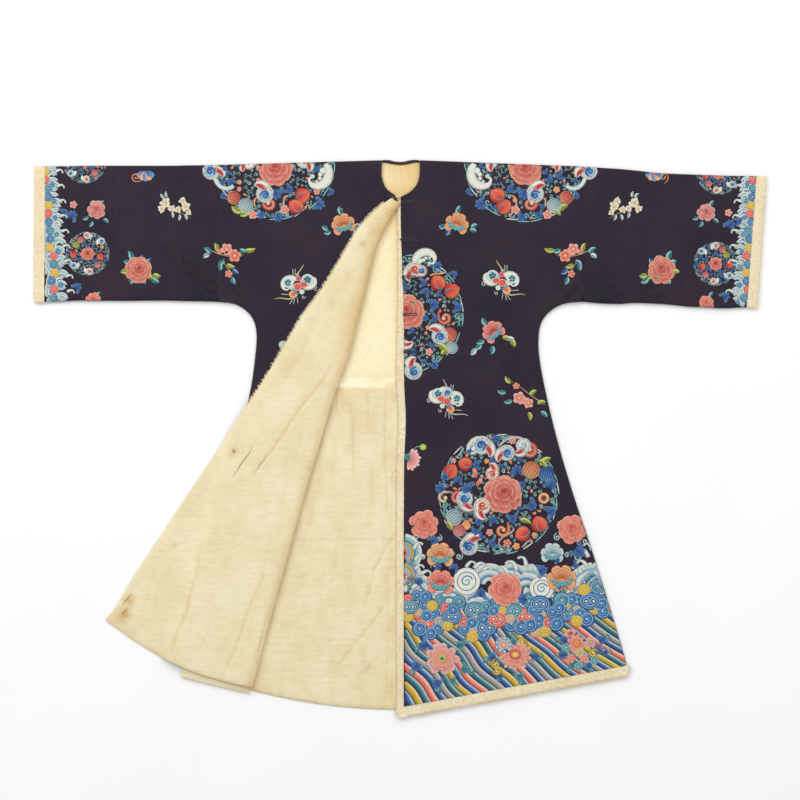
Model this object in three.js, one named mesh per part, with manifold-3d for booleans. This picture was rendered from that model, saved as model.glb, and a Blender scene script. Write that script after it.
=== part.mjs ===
// A woman's wide-sleeved court surcoat, laid out flat on its back, in millimetres with +Z up.
// The wearer's left half lies towards +X, the neck towards +Y. The front opens down the middle,
// and the wearer's right front is folded back, so that the lining shows.
// Origin: on the floor under the middle of the garment's outline.
import * as THREE from 'three';
import { mergeVertices } from 'three/addons/utils/BufferGeometryUtils.js';
import Module from 'manifold-3d';

const wasm = await Module();
wasm.setup();

// Driving sizes of the cloth
const SILK = 1.2; // wall of the outer silk
const LINING = 4; // wall of the fleece and cloth lining
const SEAM = 0.3; // gap between pieces that touch
const BACK_LINING_Z = SILK + SEAM; // underside of the lining that lies on the back
const FRONT_LINING_Z = BACK_LINING_Z + LINING + SEAM; // underside of the front's lining
const TOP_Z = FRONT_LINING_Z + LINING + SEAM + SILK; // upper face of the closed front
const SLEEVE_WALL = SILK + LINING; // silk and lining together, as one wall
const FOLD_RADIUS = 2.2; // inside of the soft fold of the turned front
const EDGE_ROUNDING = 12; // how far the front curves down to the side seam
const SIDE_EDGE_Z = SILK + 0.9; // where that curve ends, just above the back
const OPENING_BAND = 19; // fur that shows past the silk at the front edge
const OPENING_BAND_AT_NECK = 8;
const HEM_BAND = 27; // fur or lining that shows past the silk at the hem
const HEM_PAST_SIDE = 6; // how far the hem's fur goes past the side seam
const CUFF_BAND = 25; // fur that shows past the silk at the wrist
const LINING_INSET = 15; // how far the lining stays inside the side seams
const BINDING_RADIUS = 2;
const NECK_CORNER_Y = 598; // top of the front edge, where the neckline starts
const WELD = 1e-3; // points nearer than this are one point
const FROG_LENGTH = 33;
const FROG_WIDTH = 7.5;
const FROG_CORD = 2.4;
const FROG_EDGE = 0.4; // bevel along the cord
const KNOT_RADIUS = 3.4;

// Half outlines, a row for each section from hem to shoulder. in is the front edge or the fold,
// out is the side, underarm or sleeve seam, both measured outwards from the middle line.
// drop is 1 where the front curves down to the side seam and 0 along the sleeve seam.
const LEFT_FRONT = [
  { inX: 10, inY: -671, outX: 567, outY: -569, drop: 1 },
  { inX: 10, inY: -560, outX: 541, outY: -480, drop: 1 },
  { inX: 10, inY: -440, outX: 509, outY: -375, drop: 1 },
  { inX: 10, inY: -310, outX: 474, outY: -265, drop: 1 },
  { inX: 10, inY: -180, outX: 437, outY: -155, drop: 1 },
  { inX: 11, inY: -60, outX: 405, outY: -50, drop: 1 },
  { inX: 15, inY: 44, outX: 379, outY: 48, drop: 1 },
  { inX: 11, inY: 130, outX: 360, outY: 132, drop: 1 },
  { inX: 10, inY: 205, outX: 348, outY: 200, drop: 1 },
  { inX: 10, inY: 262, outX: 346, outY: 250, drop: 1 },
  { inX: 9, inY: 305, outX: 352, outY: 285, drop: 1 },
  { inX: 9, inY: 335, outX: 368, outY: 309, drop: 1 },
  { inX: 8, inY: 362, outX: 392, outY: 327, drop: 1 },
  { inX: 7, inY: 385, outX: 420, outY: 336, drop: 1 },
  { inX: 6, inY: 405, outX: 457, outY: 339, drop: 1 },
  { inX: 6, inY: 425, outX: 457, outY: 353, drop: 0 },
  { inX: 4, inY: 475, outX: 457, outY: 425, drop: 0 },
  { inX: 2, inY: 535, outX: 457, outY: 500, drop: 0 },
  { inX: 2, inY: 598, outX: 457, outY: 570, drop: 0 },
  { inX: 24, inY: 609, outX: 457, outY: 602, drop: 0 },
  { inX: 42, inY: 627, outX: 457, outY: 630, drop: 0 },
  { inX: 51, inY: 652, outX: 457, outY: 652, drop: 0 },
  { inX: 52, inY: 687, outX: 457, outY: 671.5, drop: 0 },
];
const RIGHT_FRONT = [
  { inX: 375, inY: -611, outX: 560, outY: -567, drop: 1 },
  { inX: 346, inY: -505, outX: 537, outY: -480, drop: 1 },
  { inX: 316, inY: -400, outX: 507, outY: -375, drop: 1 },
  { inX: 282, inY: -278, outX: 473, outY: -265, drop: 1 },
  { inX: 250, inY: -160, outX: 440, outY: -155, drop: 1 },
  { inX: 219, inY: -55, outX: 411, outY: -50, drop: 1 },
  { inX: 189, inY: 45, outX: 389, outY: 48, drop: 1 },
  { inX: 160, inY: 138, outX: 371, outY: 132, drop: 1 },
  { inX: 134, inY: 205, outX: 362, outY: 200, drop: 1 },
  { inX: 119, inY: 262, outX: 358, outY: 250, drop: 1 },
  { inX: 109, inY: 305, outX: 362, outY: 283, drop: 1 },
  { inX: 101, inY: 335, outX: 374, outY: 306, drop: 1 },
  { inX: 94, inY: 362, outX: 394, outY: 324, drop: 1 },
  { inX: 88, inY: 385, outX: 420, outY: 335, drop: 1 },
  { inX: 83, inY: 405, outX: 457, outY: 339, drop: 1 },
  { inX: 79, inY: 425, outX: 457, outY: 353, drop: 0 },
  { inX: 66, inY: 475, outX: 457, outY: 425, drop: 0 },
  { inX: 44, inY: 532, outX: 457, outY: 500, drop: 0 },
  { inX: 8, inY: 580, outX: 457, outY: 570, drop: 0 },
  { inX: 10, inY: 600, outX: 457, outY: 602, drop: 0 },
  { inX: 36, inY: 620, outX: 457, outY: 630, drop: 0 },
  { inX: 48, inY: 650, outX: 457, outY: 652, drop: 0 },
  { inX: 48, inY: 687, outX: 457, outY: 675.5, drop: 0 },
];
// The turned front, a row for each section from hem to neck: the fold, the free front edge, and
// how far the row bows out between them.
const FLAP = [
  { foldX: 375, foldY: -622, edgeX: 735, edgeY: -455, bow: 26 },
  { foldX: 367, foldY: -592, edgeX: 711, edgeY: -425, bow: 25 },
  { foldX: 346, foldY: -510, edgeX: 670, edgeY: -355, bow: 18 },
  { foldX: 316, foldY: -400, edgeX: 606, edgeY: -258, bow: 12 },
  { foldX: 282, foldY: -278, edgeX: 541, edgeY: -160, bow: 8 },
  { foldX: 250, foldY: -160, edgeX: 472, edgeY: -57, bow: 5 },
  { foldX: 219, foldY: -55, edgeX: 411, edgeY: 36, bow: 2 },
  { foldX: 189, foldY: 45, edgeX: 352, edgeY: 124, bow: 0 },
  { foldX: 160, foldY: 138, edgeX: 296, edgeY: 216, bow: 0 },
  { foldX: 134, foldY: 205, edgeX: 247, edgeY: 298, bow: 0 },
  { foldX: 114, foldY: 285, edgeX: 205, edgeY: 355, bow: 0 },
  { foldX: 94, foldY: 362, edgeX: 167, edgeY: 415, bow: 0 },
  { foldX: 79, foldY: 425, edgeX: 133, edgeY: 471, bow: 0 },
  { foldX: 64, foldY: 482, edgeX: 104, edgeY: 520, bow: 0 },
  { foldX: 43, foldY: 532, edgeX: 72, edgeY: 558, bow: 0 },
  { foldX: 17, foldY: 568, edgeX: 32, edgeY: 586, bow: 0 },
];
// Sleeves, a row for each section from the body seam to the wrist, measured outwards.
const LEFT_SLEEVE_UPPER = [
  { topX: 457.3, topY: 677, botX: 457.3, botY: 339 },
  { topX: 500, topY: 674, botX: 500, botY: 336 },
  { topX: 548, topY: 671, botX: 547, botY: 334 },
  { topX: 590, topY: 667, botX: 588, botY: 336 },
  { topX: 645, topY: 661, botX: 643, botY: 333 },
  { topX: 705, topY: 658, botX: 702, botY: 329 },
];
const LEFT_SLEEVE_LOWER = [
  { topX: 705.3, topY: 658, botX: 702.3, botY: 329 },
  { topX: 760, topY: 656, botX: 752, botY: 325 },
  { topX: 825, topY: 654, botX: 812, botY: 323 },
  { topX: 890, topY: 653, botX: 866, botY: 325 },
];
const RIGHT_SLEEVE_UPPER = [
  { topX: 457.3, topY: 681, botX: 457.3, botY: 339 },
  { topX: 520, topY: 680, botX: 520, botY: 340 },
  { topX: 587, topY: 679, botX: 587, botY: 342 },
  { topX: 652, topY: 679, botX: 652, botY: 342 },
  { topX: 717, topY: 679, botX: 717, botY: 341 },
];
const RIGHT_SLEEVE_LOWER = [
  { topX: 717.3, topY: 679, botX: 717.3, botY: 341 },
  { topX: 775, topY: 679, botX: 775, botY: 342 },
  { topX: 830, topY: 678, botX: 830, botY: 341 },
  { topX: 886, topY: 678, botX: 888, botY: 339 },
];
// Where the lining's fleece meets its plain cloth, on the back.
const LINING_SEAM_Y = 124;
// Knots down the front edge: the height of each, evenly spaced from the neck.
const FROGS = { count: 5, topY: 588, step: 93.5 };
// Long soft creases in the upper layers: a point on each, its direction, half width and height.
const CREASES = [
  { x: 300, y: 380, angle: 62, width: 26, length: 90, height: 2.2 },
  { x: -300, y: 385, angle: 122, width: 26, length: 90, height: 2.2 },
  { x: 560, y: 385, angle: 24, width: 18, length: 110, height: 2 },
  { x: 640, y: 372, angle: 28, width: 16, length: 90, height: 1.8 },
  { x: -570, y: 395, angle: 146, width: 20, length: 100, height: 2 },
  { x: 90, y: 520, angle: 100, width: 22, length: 90, height: 1.8 },
  { x: 330, y: 60, angle: 98, width: 30, length: 150, height: 1.6 },
  { x: 190, y: -60, angle: 86, width: 34, length: 190, height: 1.4 },
];

// Height that the folds add to a layer at a point of the plan.
function creaseHeight(x, y) {
  let sum = 0;
  for (const crease of CREASES) {
    const turn = THREE.MathUtils.degToRad(crease.angle);
    const dx = x - crease.x;
    const dy = y - crease.y;
    const along = (dx * Math.cos(turn) + dy * Math.sin(turn)) / crease.length;
    const across = (dy * Math.cos(turn) - dx * Math.sin(turn)) / crease.width;
    sum += crease.height * Math.exp(-along * along - across * across);
  }
  return sum;
}

// Soft unevenness of cloth that lies over cloth, never below the layer under it.
function swell(x, y, height) {
  return height * (0.5 + 0.5 * Math.sin(x / 74 + 1.3 * Math.sin(y / 118)) * Math.cos(y / 96 + x / 190));
}

function fadeIn(distance, run) {
  return THREE.MathUtils.clamp(distance / run, 0, 1);
}

// What the folds add to a closed front, dying out at the side, the sleeve seam and the shoulder.
const FRONT_SWELL = 1.6;
const FOLDS_END_Y = 684;
const FOLD_FADE = 60;

function frontLift(rows, side, x, y) {
  const keep = fadeIn(sideAt(rows, y) - x, FOLD_FADE) * fadeIn(FOLDS_END_Y - y, FOLD_FADE);
  return keep * (swell(side * x, y, FRONT_SWELL) + creaseHeight(side * x, y));
}

// The same on a sleeve, from the body seam to the wrist.
const SLEEVE_SWELL = 1;
const SLEEVE_SEAM_X = 457;
const WRIST_X = 868;

function sleeveLift(x, y) {
  const keep = fadeIn(Math.abs(x) - SLEEVE_SEAM_X, FOLD_FADE) * fadeIn(WRIST_X - Math.abs(x), FOLD_FADE);
  return keep * (swell(x, y, SLEEVE_SWELL) + creaseHeight(x, y));
}

// A wall of cloth from a grid of base points, moved out along the grid's normals by low and high,
// which are distances or functions of the place in the grid. It is closed round its rim.
function wall(grid, low, high) {
  const rowCount = grid.length;
  const columnCount = grid[0].length;
  const offsetOf = (offset, i, j) => (typeof offset === 'function' ? offset(i, j) : offset);
  const points = [];
  for (const offset of [low, high]) {
    for (let i = 0; i < rowCount; i++) {
      for (let j = 0; j < columnCount; j++) {
        const along = grid[i][Math.min(j + 1, columnCount - 1)].clone().sub(grid[i][Math.max(j - 1, 0)]);
        const up = grid[Math.min(i + 1, rowCount - 1)][j].clone().sub(grid[Math.max(i - 1, 0)][j]);
        const normal = along.cross(up).normalize();
        points.push(grid[i][j].clone().addScaledVector(normal, offsetOf(offset, i, j)));
      }
    }
  }
  const at = (side, i, j) => side * rowCount * columnCount + i * columnCount + j;
  const faces = [];
  const quad = (a, b, c, d) => faces.push(a, b, c, a, c, d);
  for (let i = 0; i + 1 < rowCount; i++) {
    for (let j = 0; j + 1 < columnCount; j++) {
      quad(at(1, i, j), at(1, i, j + 1), at(1, i + 1, j + 1), at(1, i + 1, j));
      quad(at(0, i, j), at(0, i + 1, j), at(0, i + 1, j + 1), at(0, i, j + 1));
    }
    quad(at(0, i, 0), at(1, i, 0), at(1, i + 1, 0), at(0, i + 1, 0));
    const last = columnCount - 1;
    quad(at(1, i, last), at(0, i, last), at(0, i + 1, last), at(1, i + 1, last));
  }
  for (let j = 0; j + 1 < columnCount; j++) {
    quad(at(1, 0, j), at(0, 0, j), at(0, 0, j + 1), at(1, 0, j + 1));
    const last = rowCount - 1;
    quad(at(0, last, j), at(1, last, j), at(1, last, j + 1), at(0, last, j + 1));
  }
  return meshOf(points, faces);
}

// A closed tube wall: rings of points, an outer and an inner one at each section.
function ringWall(outerRings, innerRings) {
  const count = outerRings[0].length;
  const sections = outerRings.length;
  const points = [...outerRings.flat(), ...innerRings.flat()];
  const at = (side, i, j) => side * sections * count + i * count + (j % count);
  const faces = [];
  const quad = (a, b, c, d) => faces.push(a, b, c, a, c, d);
  for (let j = 0; j < count; j++) {
    for (let i = 0; i + 1 < sections; i++) {
      quad(at(0, i, j), at(0, i, j + 1), at(0, i + 1, j + 1), at(0, i + 1, j));
      quad(at(1, i, j), at(1, i + 1, j), at(1, i + 1, j + 1), at(1, i, j + 1));
    }
    const last = sections - 1;
    quad(at(0, 0, j + 1), at(0, 0, j), at(1, 0, j), at(1, 0, j + 1));
    quad(at(0, last, j), at(0, last, j + 1), at(1, last, j + 1), at(1, last, j));
  }
  return meshOf(points, faces);
}

function meshOf(points, faces) {
  const geometry = new THREE.BufferGeometry();
  const places = points.flatMap((p) => [p.x, p.y, p.z]);
  geometry.setAttribute('position', new THREE.Float32BufferAttribute(places, 3));
  geometry.setIndex(faces);
  return geometry;
}

// The same shape on the wearer's other side.
function mirrored(geometry) {
  const position = geometry.getAttribute('position');
  for (let i = 0; i < position.count; i++) position.setX(i, -position.getX(i));
  const index = geometry.getIndex();
  for (let i = 0; i < index.count; i += 3) {
    const second = index.getX(i + 1);
    index.setX(i + 1, index.getX(i + 2));
    index.setX(i + 2, second);
  }
  return geometry;
}

function toSolid(geometry) {
  const bare = geometry.clone();
  bare.deleteAttribute('normal');
  bare.deleteAttribute('uv');
  const closed = mergeVertices(bare, WELD);
  return new wasm.Manifold(
    new wasm.Mesh({
      numProp: 3,
      vertProperties: closed.getAttribute('position').array,
      triVerts: new Uint32Array(closed.getIndex().array),
    }),
  );
}

function joined(first, second) {
  const mesh = toSolid(first).add(toSolid(second)).getMesh();
  const geometry = new THREE.BufferGeometry();
  geometry.setAttribute('position', new THREE.Float32BufferAttribute(mesh.vertProperties, 3));
  geometry.setIndex([...mesh.triVerts]);
  return geometry;
}

// The side seam's distance from the middle at a height, from the rows below the underarm.
function sideAt(rows, y) {
  for (let i = 0; i + 1 < rows.length; i++) {
    if (y <= rows[i + 1].outY) {
      const share = (y - rows[i].outY) / (rows[i + 1].outY - rows[i].outY);
      return THREE.MathUtils.lerp(rows[i].outX, rows[i + 1].outX, Math.max(share, 0));
    }
  }
  return rows[rows.length - 1].outX;
}

// Columns across a front: even shares up to the rounding, then the rounding's own steps.
const FLAT_COLUMNS = 7;
const ROUND_STEPS = [1, 0.5, 0.17, 0];

function columnPlaces(length) {
  const places = [];
  for (let j = 0; j < FLAT_COLUMNS; j++) {
    places.push({ along: ((length - EDGE_ROUNDING) * j) / FLAT_COLUMNS, fall: 1 });
  }
  for (const step of ROUND_STEPS) {
    places.push({ along: length - EDGE_ROUNDING * step, fall: step });
  }
  return places;
}

// A front's outer face at the rows of a half outline.
function frontGrid(rows, side) {
  return rows.map((row) => {
    const start = new THREE.Vector3(row.inX, row.inY, 0);
    const end = new THREE.Vector3(row.outX, row.outY, 0);
    const length = start.distanceTo(end);
    return columnPlaces(length).map(({ along, fall }) => {
      const point = start.clone().lerp(end, along / length);
      const round = Math.sqrt(1 - (1 - fall) ** 2);
      const edgeZ = THREE.MathUtils.lerp(SIDE_EDGE_Z, TOP_Z, round);
      point.z = (row.drop ? edgeZ : TOP_Z) + frontLift(rows, side, point.x, point.y);
      return point;
    });
  });
}

// The cloth goes over the shoulder in a half round and down the back, which lies on the floor.
function overShoulder(front, backRows) {
  const radius = TOP_Z / 2;
  const top = front[front.length - 1];
  const turn = [30, 60, 90, 120, 150, 180].map((degrees) => {
    const angle = THREE.MathUtils.degToRad(degrees);
    const height = radius + radius * Math.cos(angle);
    return top.map((p) => new THREE.Vector3(p.x, p.y + radius * Math.sin(angle), height));
  });
  const back = backRows.map((row) => {
    const start = new THREE.Vector3(row.inX, row.inY, 0);
    const end = new THREE.Vector3(row.outX, row.outY, 0);
    const length = start.distanceTo(end);
    return columnPlaces(length).map(({ along }) => start.clone().lerp(end, along / length));
  });
  return [...front, ...turn, ...back];
}

// The back's rows: the back neckline, then down the middle seam to the hem. They share the side
// points of the front's rows, and the hem hangs a little shorter.
const MIDDLE_SEAM_X = SEAM / 2;
const BACK_NECK = [
  { inX: 30, inY: 679, outY: 640 },
  { inX: MIDDLE_SEAM_X, inY: 676.5, outY: 570 },
  { inX: MIDDLE_SEAM_X, inY: 560, outY: 460 },
  { inX: MIDDLE_SEAM_X, inY: 440, outY: 353 },
];
const BACK_UNDERARM_Y = 410; // height on the middle seam of the row that ends under the arm
const BACK_HEM_Y = -654;
const CLOSE_ROWS = 6; // rows kept below the underarm, where its curve is tight

function backRows(frontRows) {
  const sleeveSeamX = frontRows[frontRows.length - 1].outX;
  const upper = BACK_NECK.map((row) => ({ ...row, outX: sleeveSeamX }));
  const side = frontRows.filter((row) => row.drop).reverse();
  const kept = side.filter((row, i) => i < CLOSE_ROWS || i % 2 === 0);
  const underarmY = side[0].outY;
  const hemOutY = side[side.length - 1].outY;
  const lower = kept.map((row) => {
    const share = (underarmY - row.outY) / (underarmY - hemOutY);
    const inY = THREE.MathUtils.lerp(BACK_UNDERARM_Y, BACK_HEM_Y, share);
    return { inX: MIDDLE_SEAM_X, inY, outX: row.outX, outY: row.outY };
  });
  return [...upper, ...lower];
}

function bodySilk(frontRows, side) {
  return wall(overShoulder(frontGrid(frontRows, side), backRows(frontRows)), -SILK, 0);
}

// A flat sheet of lining between two lists of rows, with a band past its inner edge and hem.
function liningGrid(rows, height, columns) {
  return rows.map((row) => {
    const start = new THREE.Vector3(row.inX, row.inY, height);
    const end = new THREE.Vector3(row.outX, row.outY, height);
    const length = start.distanceTo(end);
    return columns(length).map((along) => start.clone().lerp(end, along / length));
  });
}

// A row moved down towards the hem, or up from it.
function lowered(row, by) {
  return { ...row, inY: row.inY - by, outY: row.outY - by };
}

// The fur strips that edge the left front go in under its silk by their lap.
const STRIP_LAP = 8;
const INNER_SHARES = [0.2, 0.4, 0.6, 0.8, 1];

// The left front's lining stays inside those strips.
function leftFrontLining() {
  const first = STRIP_LAP + SEAM;
  const rows = [lowered(LEFT_FRONT[0], -first), ...LEFT_FRONT.slice(1, -1)];
  const columns = (length) => [first, ...INNER_SHARES.map((share) => (length - LINING_INSET) * share)];
  return wall(liningGrid(rows, FRONT_LINING_Z, columns), 0, LINING);
}

// A fur strip's upper face: rounded down at its free edge, nearly as high as the silk beside it,
// and lower where it goes in under the silk.
const STRIP_TOP = LINING + SEAM + SILK * 0.7;
const STRIP_RIM = 0.62; // height of the free edge, as a share of the strip's
const STRIP_ROUNDING = 3.5;
const STRIP_HEIGHTS = [STRIP_TOP * STRIP_RIM, STRIP_TOP, STRIP_TOP, LINING, LINING];
const STRIP_STEP = { start: 1.8, end: 0.7 }; // where it steps down, just outside the silk's edge

function stripPlaces(width) {
  return [width, width - STRIP_ROUNDING, STRIP_STEP.start, STRIP_STEP.end, -STRIP_LAP];
}

// The opening's strip narrows towards the neck and ends just below its corner.
const STRIP_NARROWING = { from: 150, to: 560 };
const STRIP_END_Y = NECK_CORNER_Y - 6;

function leftEdgeFur() {
  const topRow = LEFT_FRONT.findIndex((row) => row.inY >= NECK_CORNER_Y);
  const before = LEFT_FRONT[topRow - 1];
  const after = LEFT_FRONT[topRow];
  const share = (STRIP_END_Y - before.inY) / (after.inY - before.inY);
  const last = {
    inX: THREE.MathUtils.lerp(before.inX, after.inX, share),
    inY: STRIP_END_Y,
    outX: THREE.MathUtils.lerp(before.outX, after.outX, share),
    outY: THREE.MathUtils.lerp(before.outY, after.outY, share),
  };
  const rows = [lowered(LEFT_FRONT[0], HEM_BAND), ...LEFT_FRONT.slice(0, topRow), last];
  const grid = rows.map((row) => {
    const start = new THREE.Vector3(row.inX, row.inY, FRONT_LINING_Z);
    const toSide = new THREE.Vector3(row.outX - row.inX, row.outY - row.inY, 0).normalize();
    const narrowing = THREE.MathUtils.smoothstep(row.inY, STRIP_NARROWING.from, STRIP_NARROWING.to);
    const width = THREE.MathUtils.lerp(OPENING_BAND, OPENING_BAND_AT_NECK, narrowing);
    return stripPlaces(width).map((out) => start.clone().addScaledVector(toSide, -out));
  });
  return wall(grid, 0, (i, j) => (i === 0 ? STRIP_HEIGHTS[0] : STRIP_HEIGHTS[j]));
}

// The hem's strip goes past the side seam where it shows, and stays inside it where it doesn't.
function leftHemFur() {
  const first = STRIP_LAP + SEAM;
  const grid = stripPlaces(HEM_BAND).map((out) => {
    const row = lowered(LEFT_FRONT[0], out);
    const start = new THREE.Vector3(row.inX, row.inY, FRONT_LINING_Z);
    const toSide = new THREE.Vector3(row.outX - row.inX, row.outY - row.inY, 0);
    const reach = toSide.length() + (out > STRIP_STEP.end ? HEM_PAST_SIDE : -LINING_INSET);
    toSide.normalize();
    const alongs = [0, ...INNER_SHARES].map((share) => THREE.MathUtils.lerp(first, reach, share));
    return alongs.map((along) => start.clone().addScaledVector(toSide, along));
  });
  return wall(grid, 0, (i) => STRIP_HEIGHTS[i]);
}

// The lower, hidden part of the right front's lining, up to the fold. It is pressed thinner along
// the hem, and near the neck it stays a little further back from the fold.
const HIDDEN_SHARES = [0.012, 0.25, 0.5, 0.75, 1];
const HIDDEN_HEM = LINING * 0.7;
const NECK_RETREAT = { fromY: 590, share: 0.12 };

function rightFrontLining() {
  const rows = [lowered(RIGHT_FRONT[0], HEM_BAND), ...RIGHT_FRONT.slice(0, -1)];
  const columns = (length) => HIDDEN_SHARES.map((share) => (length - LINING_INSET) * share);
  const grid = liningGrid(rows, FRONT_LINING_Z, columns);
  rows.forEach((row, i) => {
    if (row.inY > NECK_RETREAT.fromY) grid[i][0].lerp(grid[i][1], NECK_RETREAT.share);
  });
  return wall(grid, 0, (i) => (i === 0 ? HIDDEN_HEM : LINING));
}

// The turned front's base face: a tail on the lower layer, round the fold, then out over the
// body to the free edge, coming down to the floor past the side seam.
const FOLD_ANGLES = [0, 45, 90, 135, 180];
const FLAP_SHARES = [0.1, 0.25, 0.42, 0.58, 0.72, 0.86, 1];
const FLAP_TAIL = 9;
const FLAP_SWELL = 3;
const FLAP_SWELL_STRETCH = 1.3; // its swells are closer together than the body's
const FLAP_SWELL_END = 0.92; // share of the width past which the swells die out no further
const FLAP_CLEARANCE = 1;
const NARROW_BAND = 0.4; // most of the width that the band takes, near the neck
const NARROW_TAIL = 0.5;
const BAND_SHARES = [0.8, 1];
const FLAP_DROP = { past: 8, run: 42 }; // where and how fast it comes down to the floor

function flapHeight(x, y) {
  const past = (x - sideAt(RIGHT_FRONT, y) - FLAP_DROP.past) / FLAP_DROP.run;
  return 1 - THREE.MathUtils.smoothstep(past, 0, 1);
}

function flapGrid(rows, withBand) {
  return rows.map((row) => {
    const fold = new THREE.Vector3(row.foldX, row.foldY, 0);
    const edge = new THREE.Vector3(row.edgeX, row.edgeY, 0);
    const width = fold.distanceTo(edge);
    const outwards = edge.clone().sub(fold).normalize();
    const downwards = new THREE.Vector3(outwards.y, -outwards.x, 0);
    const place = (along, z) => {
      const bowed = row.bow * Math.sin(Math.PI * THREE.MathUtils.clamp(along / width, 0, 1));
      return fold.clone().addScaledVector(outwards, along).addScaledVector(downwards, bowed).setZ(z);
    };
    const points = [place(Math.min(FLAP_TAIL, width * NARROW_TAIL), TOP_Z)];
    for (const degrees of FOLD_ANGLES) {
      const angle = THREE.MathUtils.degToRad(degrees);
      const z = TOP_Z + FOLD_RADIUS * (1 - Math.cos(angle));
      points.push(place(-FOLD_RADIUS * Math.sin(angle), z));
    }
    const silkWidth = width - Math.min(OPENING_BAND, width * NARROW_BAND);
    const alongs = FLAP_SHARES.map((share) => silkWidth * share);
    if (withBand) alongs.push(...BAND_SHARES.map((share) => THREE.MathUtils.lerp(silkWidth, width, share)));
    for (const along of alongs) {
      const point = place(along, 0);
      const rest = TOP_Z + 2 * FOLD_RADIUS * Math.exp(-along / FOLD_FADE) + FLAP_CLEARANCE;
      const share = along / width;
      const keep = Math.sin(Math.PI * Math.min(share, FLAP_SWELL_END));
      const lift = swell(FLAP_SWELL_STRETCH * point.x, point.y, FLAP_SWELL) * keep;
      const under = frontLift(RIGHT_FRONT, -1, point.x, point.y);
      point.z = (rest + lift + under) * flapHeight(point.x, point.y);
      points.push(point);
    }
    return points;
  });
}

// Both walls of the turned front are thinner at the tail, so that they end inside the lower layer.
const SILK_TAIL = 0.25;
const LINING_TAIL = 0.6;
const LINING_RIM = 0.55; // thickness at the free edge and hem, as a share of the lining's

function flapSilk() {
  const low = (i, j) => (j === 0 ? SILK_TAIL : 0);
  const high = (i, j) => (j === 0 ? SILK - SILK_TAIL : SILK);
  return wall(flapGrid(FLAP.slice(1), false), low, high);
}

function flapLining() {
  const under = SILK + SEAM;
  const grid = flapGrid(FLAP, true);
  const last = grid[0].length - 1;
  const low = (i, j) => (j === 0 ? under + LINING_TAIL : under);
  const high = (i, j) => {
    if (j === 0) return under + LINING - LINING_TAIL;
    return under + LINING * (j === last || i === 0 ? LINING_RIM : 1);
  };
  return wall(grid, low, high);
}

// The back's lining, from the neck to the hem, in two lengths that meet in a seam: each row's
// height in the middle, its half width, and how much higher its ends are.
const BACK_LINING_UPPER = [
  { y: LINING_SEAM_Y + SEAM, half: 352, rise: 0 },
  { y: 190, half: 336, rise: 0 },
  { y: 250, half: 330, rise: 0 },
  { y: 330, half: 352, rise: 0 },
  { y: 400, half: 430, rise: 0 },
  { y: 520, half: 440, rise: 0 },
  { y: 600, half: 440, rise: 0 },
  { y: 664, half: 440, rise: 0 },
];
const BACK_LINING_LOWER = [
  { y: -679, half: 545, rise: 104 },
  { y: -560, half: 525, rise: 88 },
  { y: -400, half: 485, rise: 66 },
  { y: -240, half: 444, rise: 44 },
  { y: -90, half: 400, rise: 24 },
  { y: 30, half: 368, rise: 9 },
  { y: LINING_SEAM_Y, half: 351, rise: 0 },
];
const BACK_LINING_COLUMNS = 12;

function backLining(rows) {
  const grid = rows.map((row) => {
    const points = [];
    for (let j = 0; j <= BACK_LINING_COLUMNS; j++) {
      const across = (2 * j) / BACK_LINING_COLUMNS - 1;
      points.push(new THREE.Vector3(row.half * across, row.y + row.rise * across * across, BACK_LINING_Z));
    }
    return points;
  });
  return wall(grid, 0, LINING);
}

// One flattened ring of a sleeve: flat below, half round at both folds, slightly full above.
const RING_ANGLES = [-60, -30, 0, 30, 60];
const RING_FLATS = 7;

function sleeveRing(section, side, inset) {
  const top = new THREE.Vector3(side * section.topX, section.topY, 0);
  const bottom = new THREE.Vector3(side * section.botX, section.botY, 0);
  const length = top.distanceTo(bottom);
  const up = top.clone().sub(bottom).normalize();
  const radius = TOP_Z / 2;
  const ringRadius = radius - inset;
  const place = (along, z) => bottom.clone().addScaledVector(up, along).setZ(z);
  const points = [];
  for (let k = 0; k <= RING_FLATS; k++) {
    points.push(place(radius + ((length - 2 * radius) * k) / RING_FLATS, inset));
  }
  for (const degrees of RING_ANGLES) {
    const angle = THREE.MathUtils.degToRad(degrees);
    points.push(place(length - radius + ringRadius * Math.cos(angle), radius + ringRadius * Math.sin(angle)));
  }
  for (let k = RING_FLATS; k >= 0; k--) {
    const point = place(radius + ((length - 2 * radius) * k) / RING_FLATS, TOP_Z - inset);
    const bulge = Math.sin((Math.PI * k) / RING_FLATS);
    point.z += bulge * sleeveLift(point.x, point.y);
    points.push(point);
  }
  for (const degrees of [...RING_ANGLES].reverse()) {
    const angle = THREE.MathUtils.degToRad(degrees);
    points.push(place(radius - ringRadius * Math.cos(angle), radius + ringRadius * Math.sin(angle)));
  }
  return points;
}

function sleeve(sections, side) {
  const outer = sections.map((section) => sleeveRing(section, side, 0));
  const inner = sections.map((section) => sleeveRing(section, side, SLEEVE_WALL));
  const geometry = ringWall(outer, inner);
  return side < 0 ? turnedRound(geometry) : geometry;
}

function turnedRound(geometry) {
  const index = geometry.getIndex();
  for (let i = 0; i < index.count; i += 3) {
    const second = index.getX(i + 1);
    index.setX(i + 1, index.getX(i + 2));
    index.setX(i + 2, second);
  }
  return geometry;
}

// The cuff's fur goes on from the last ring of the sleeve, a little fuller in its middle.
const CUFF_SAG = 2;
const CUFF_STEPS = [
  { by: SEAM, shrink: 0 },
  { by: CUFF_BAND * 0.5, shrink: -1 },
  { by: CUFF_BAND, shrink: 0.5 },
];

function cuff(sections, side) {
  const last = sections[sections.length - 1];
  const shifted = (by, shrink) => ({
    topX: last.topX + by,
    topY: last.topY - shrink,
    botX: last.botX + by,
    botY: last.botY - CUFF_SAG + shrink,
  });
  return sleeve(CUFF_STEPS.map((step) => shifted(step.by, step.shrink)), side);
}

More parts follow.
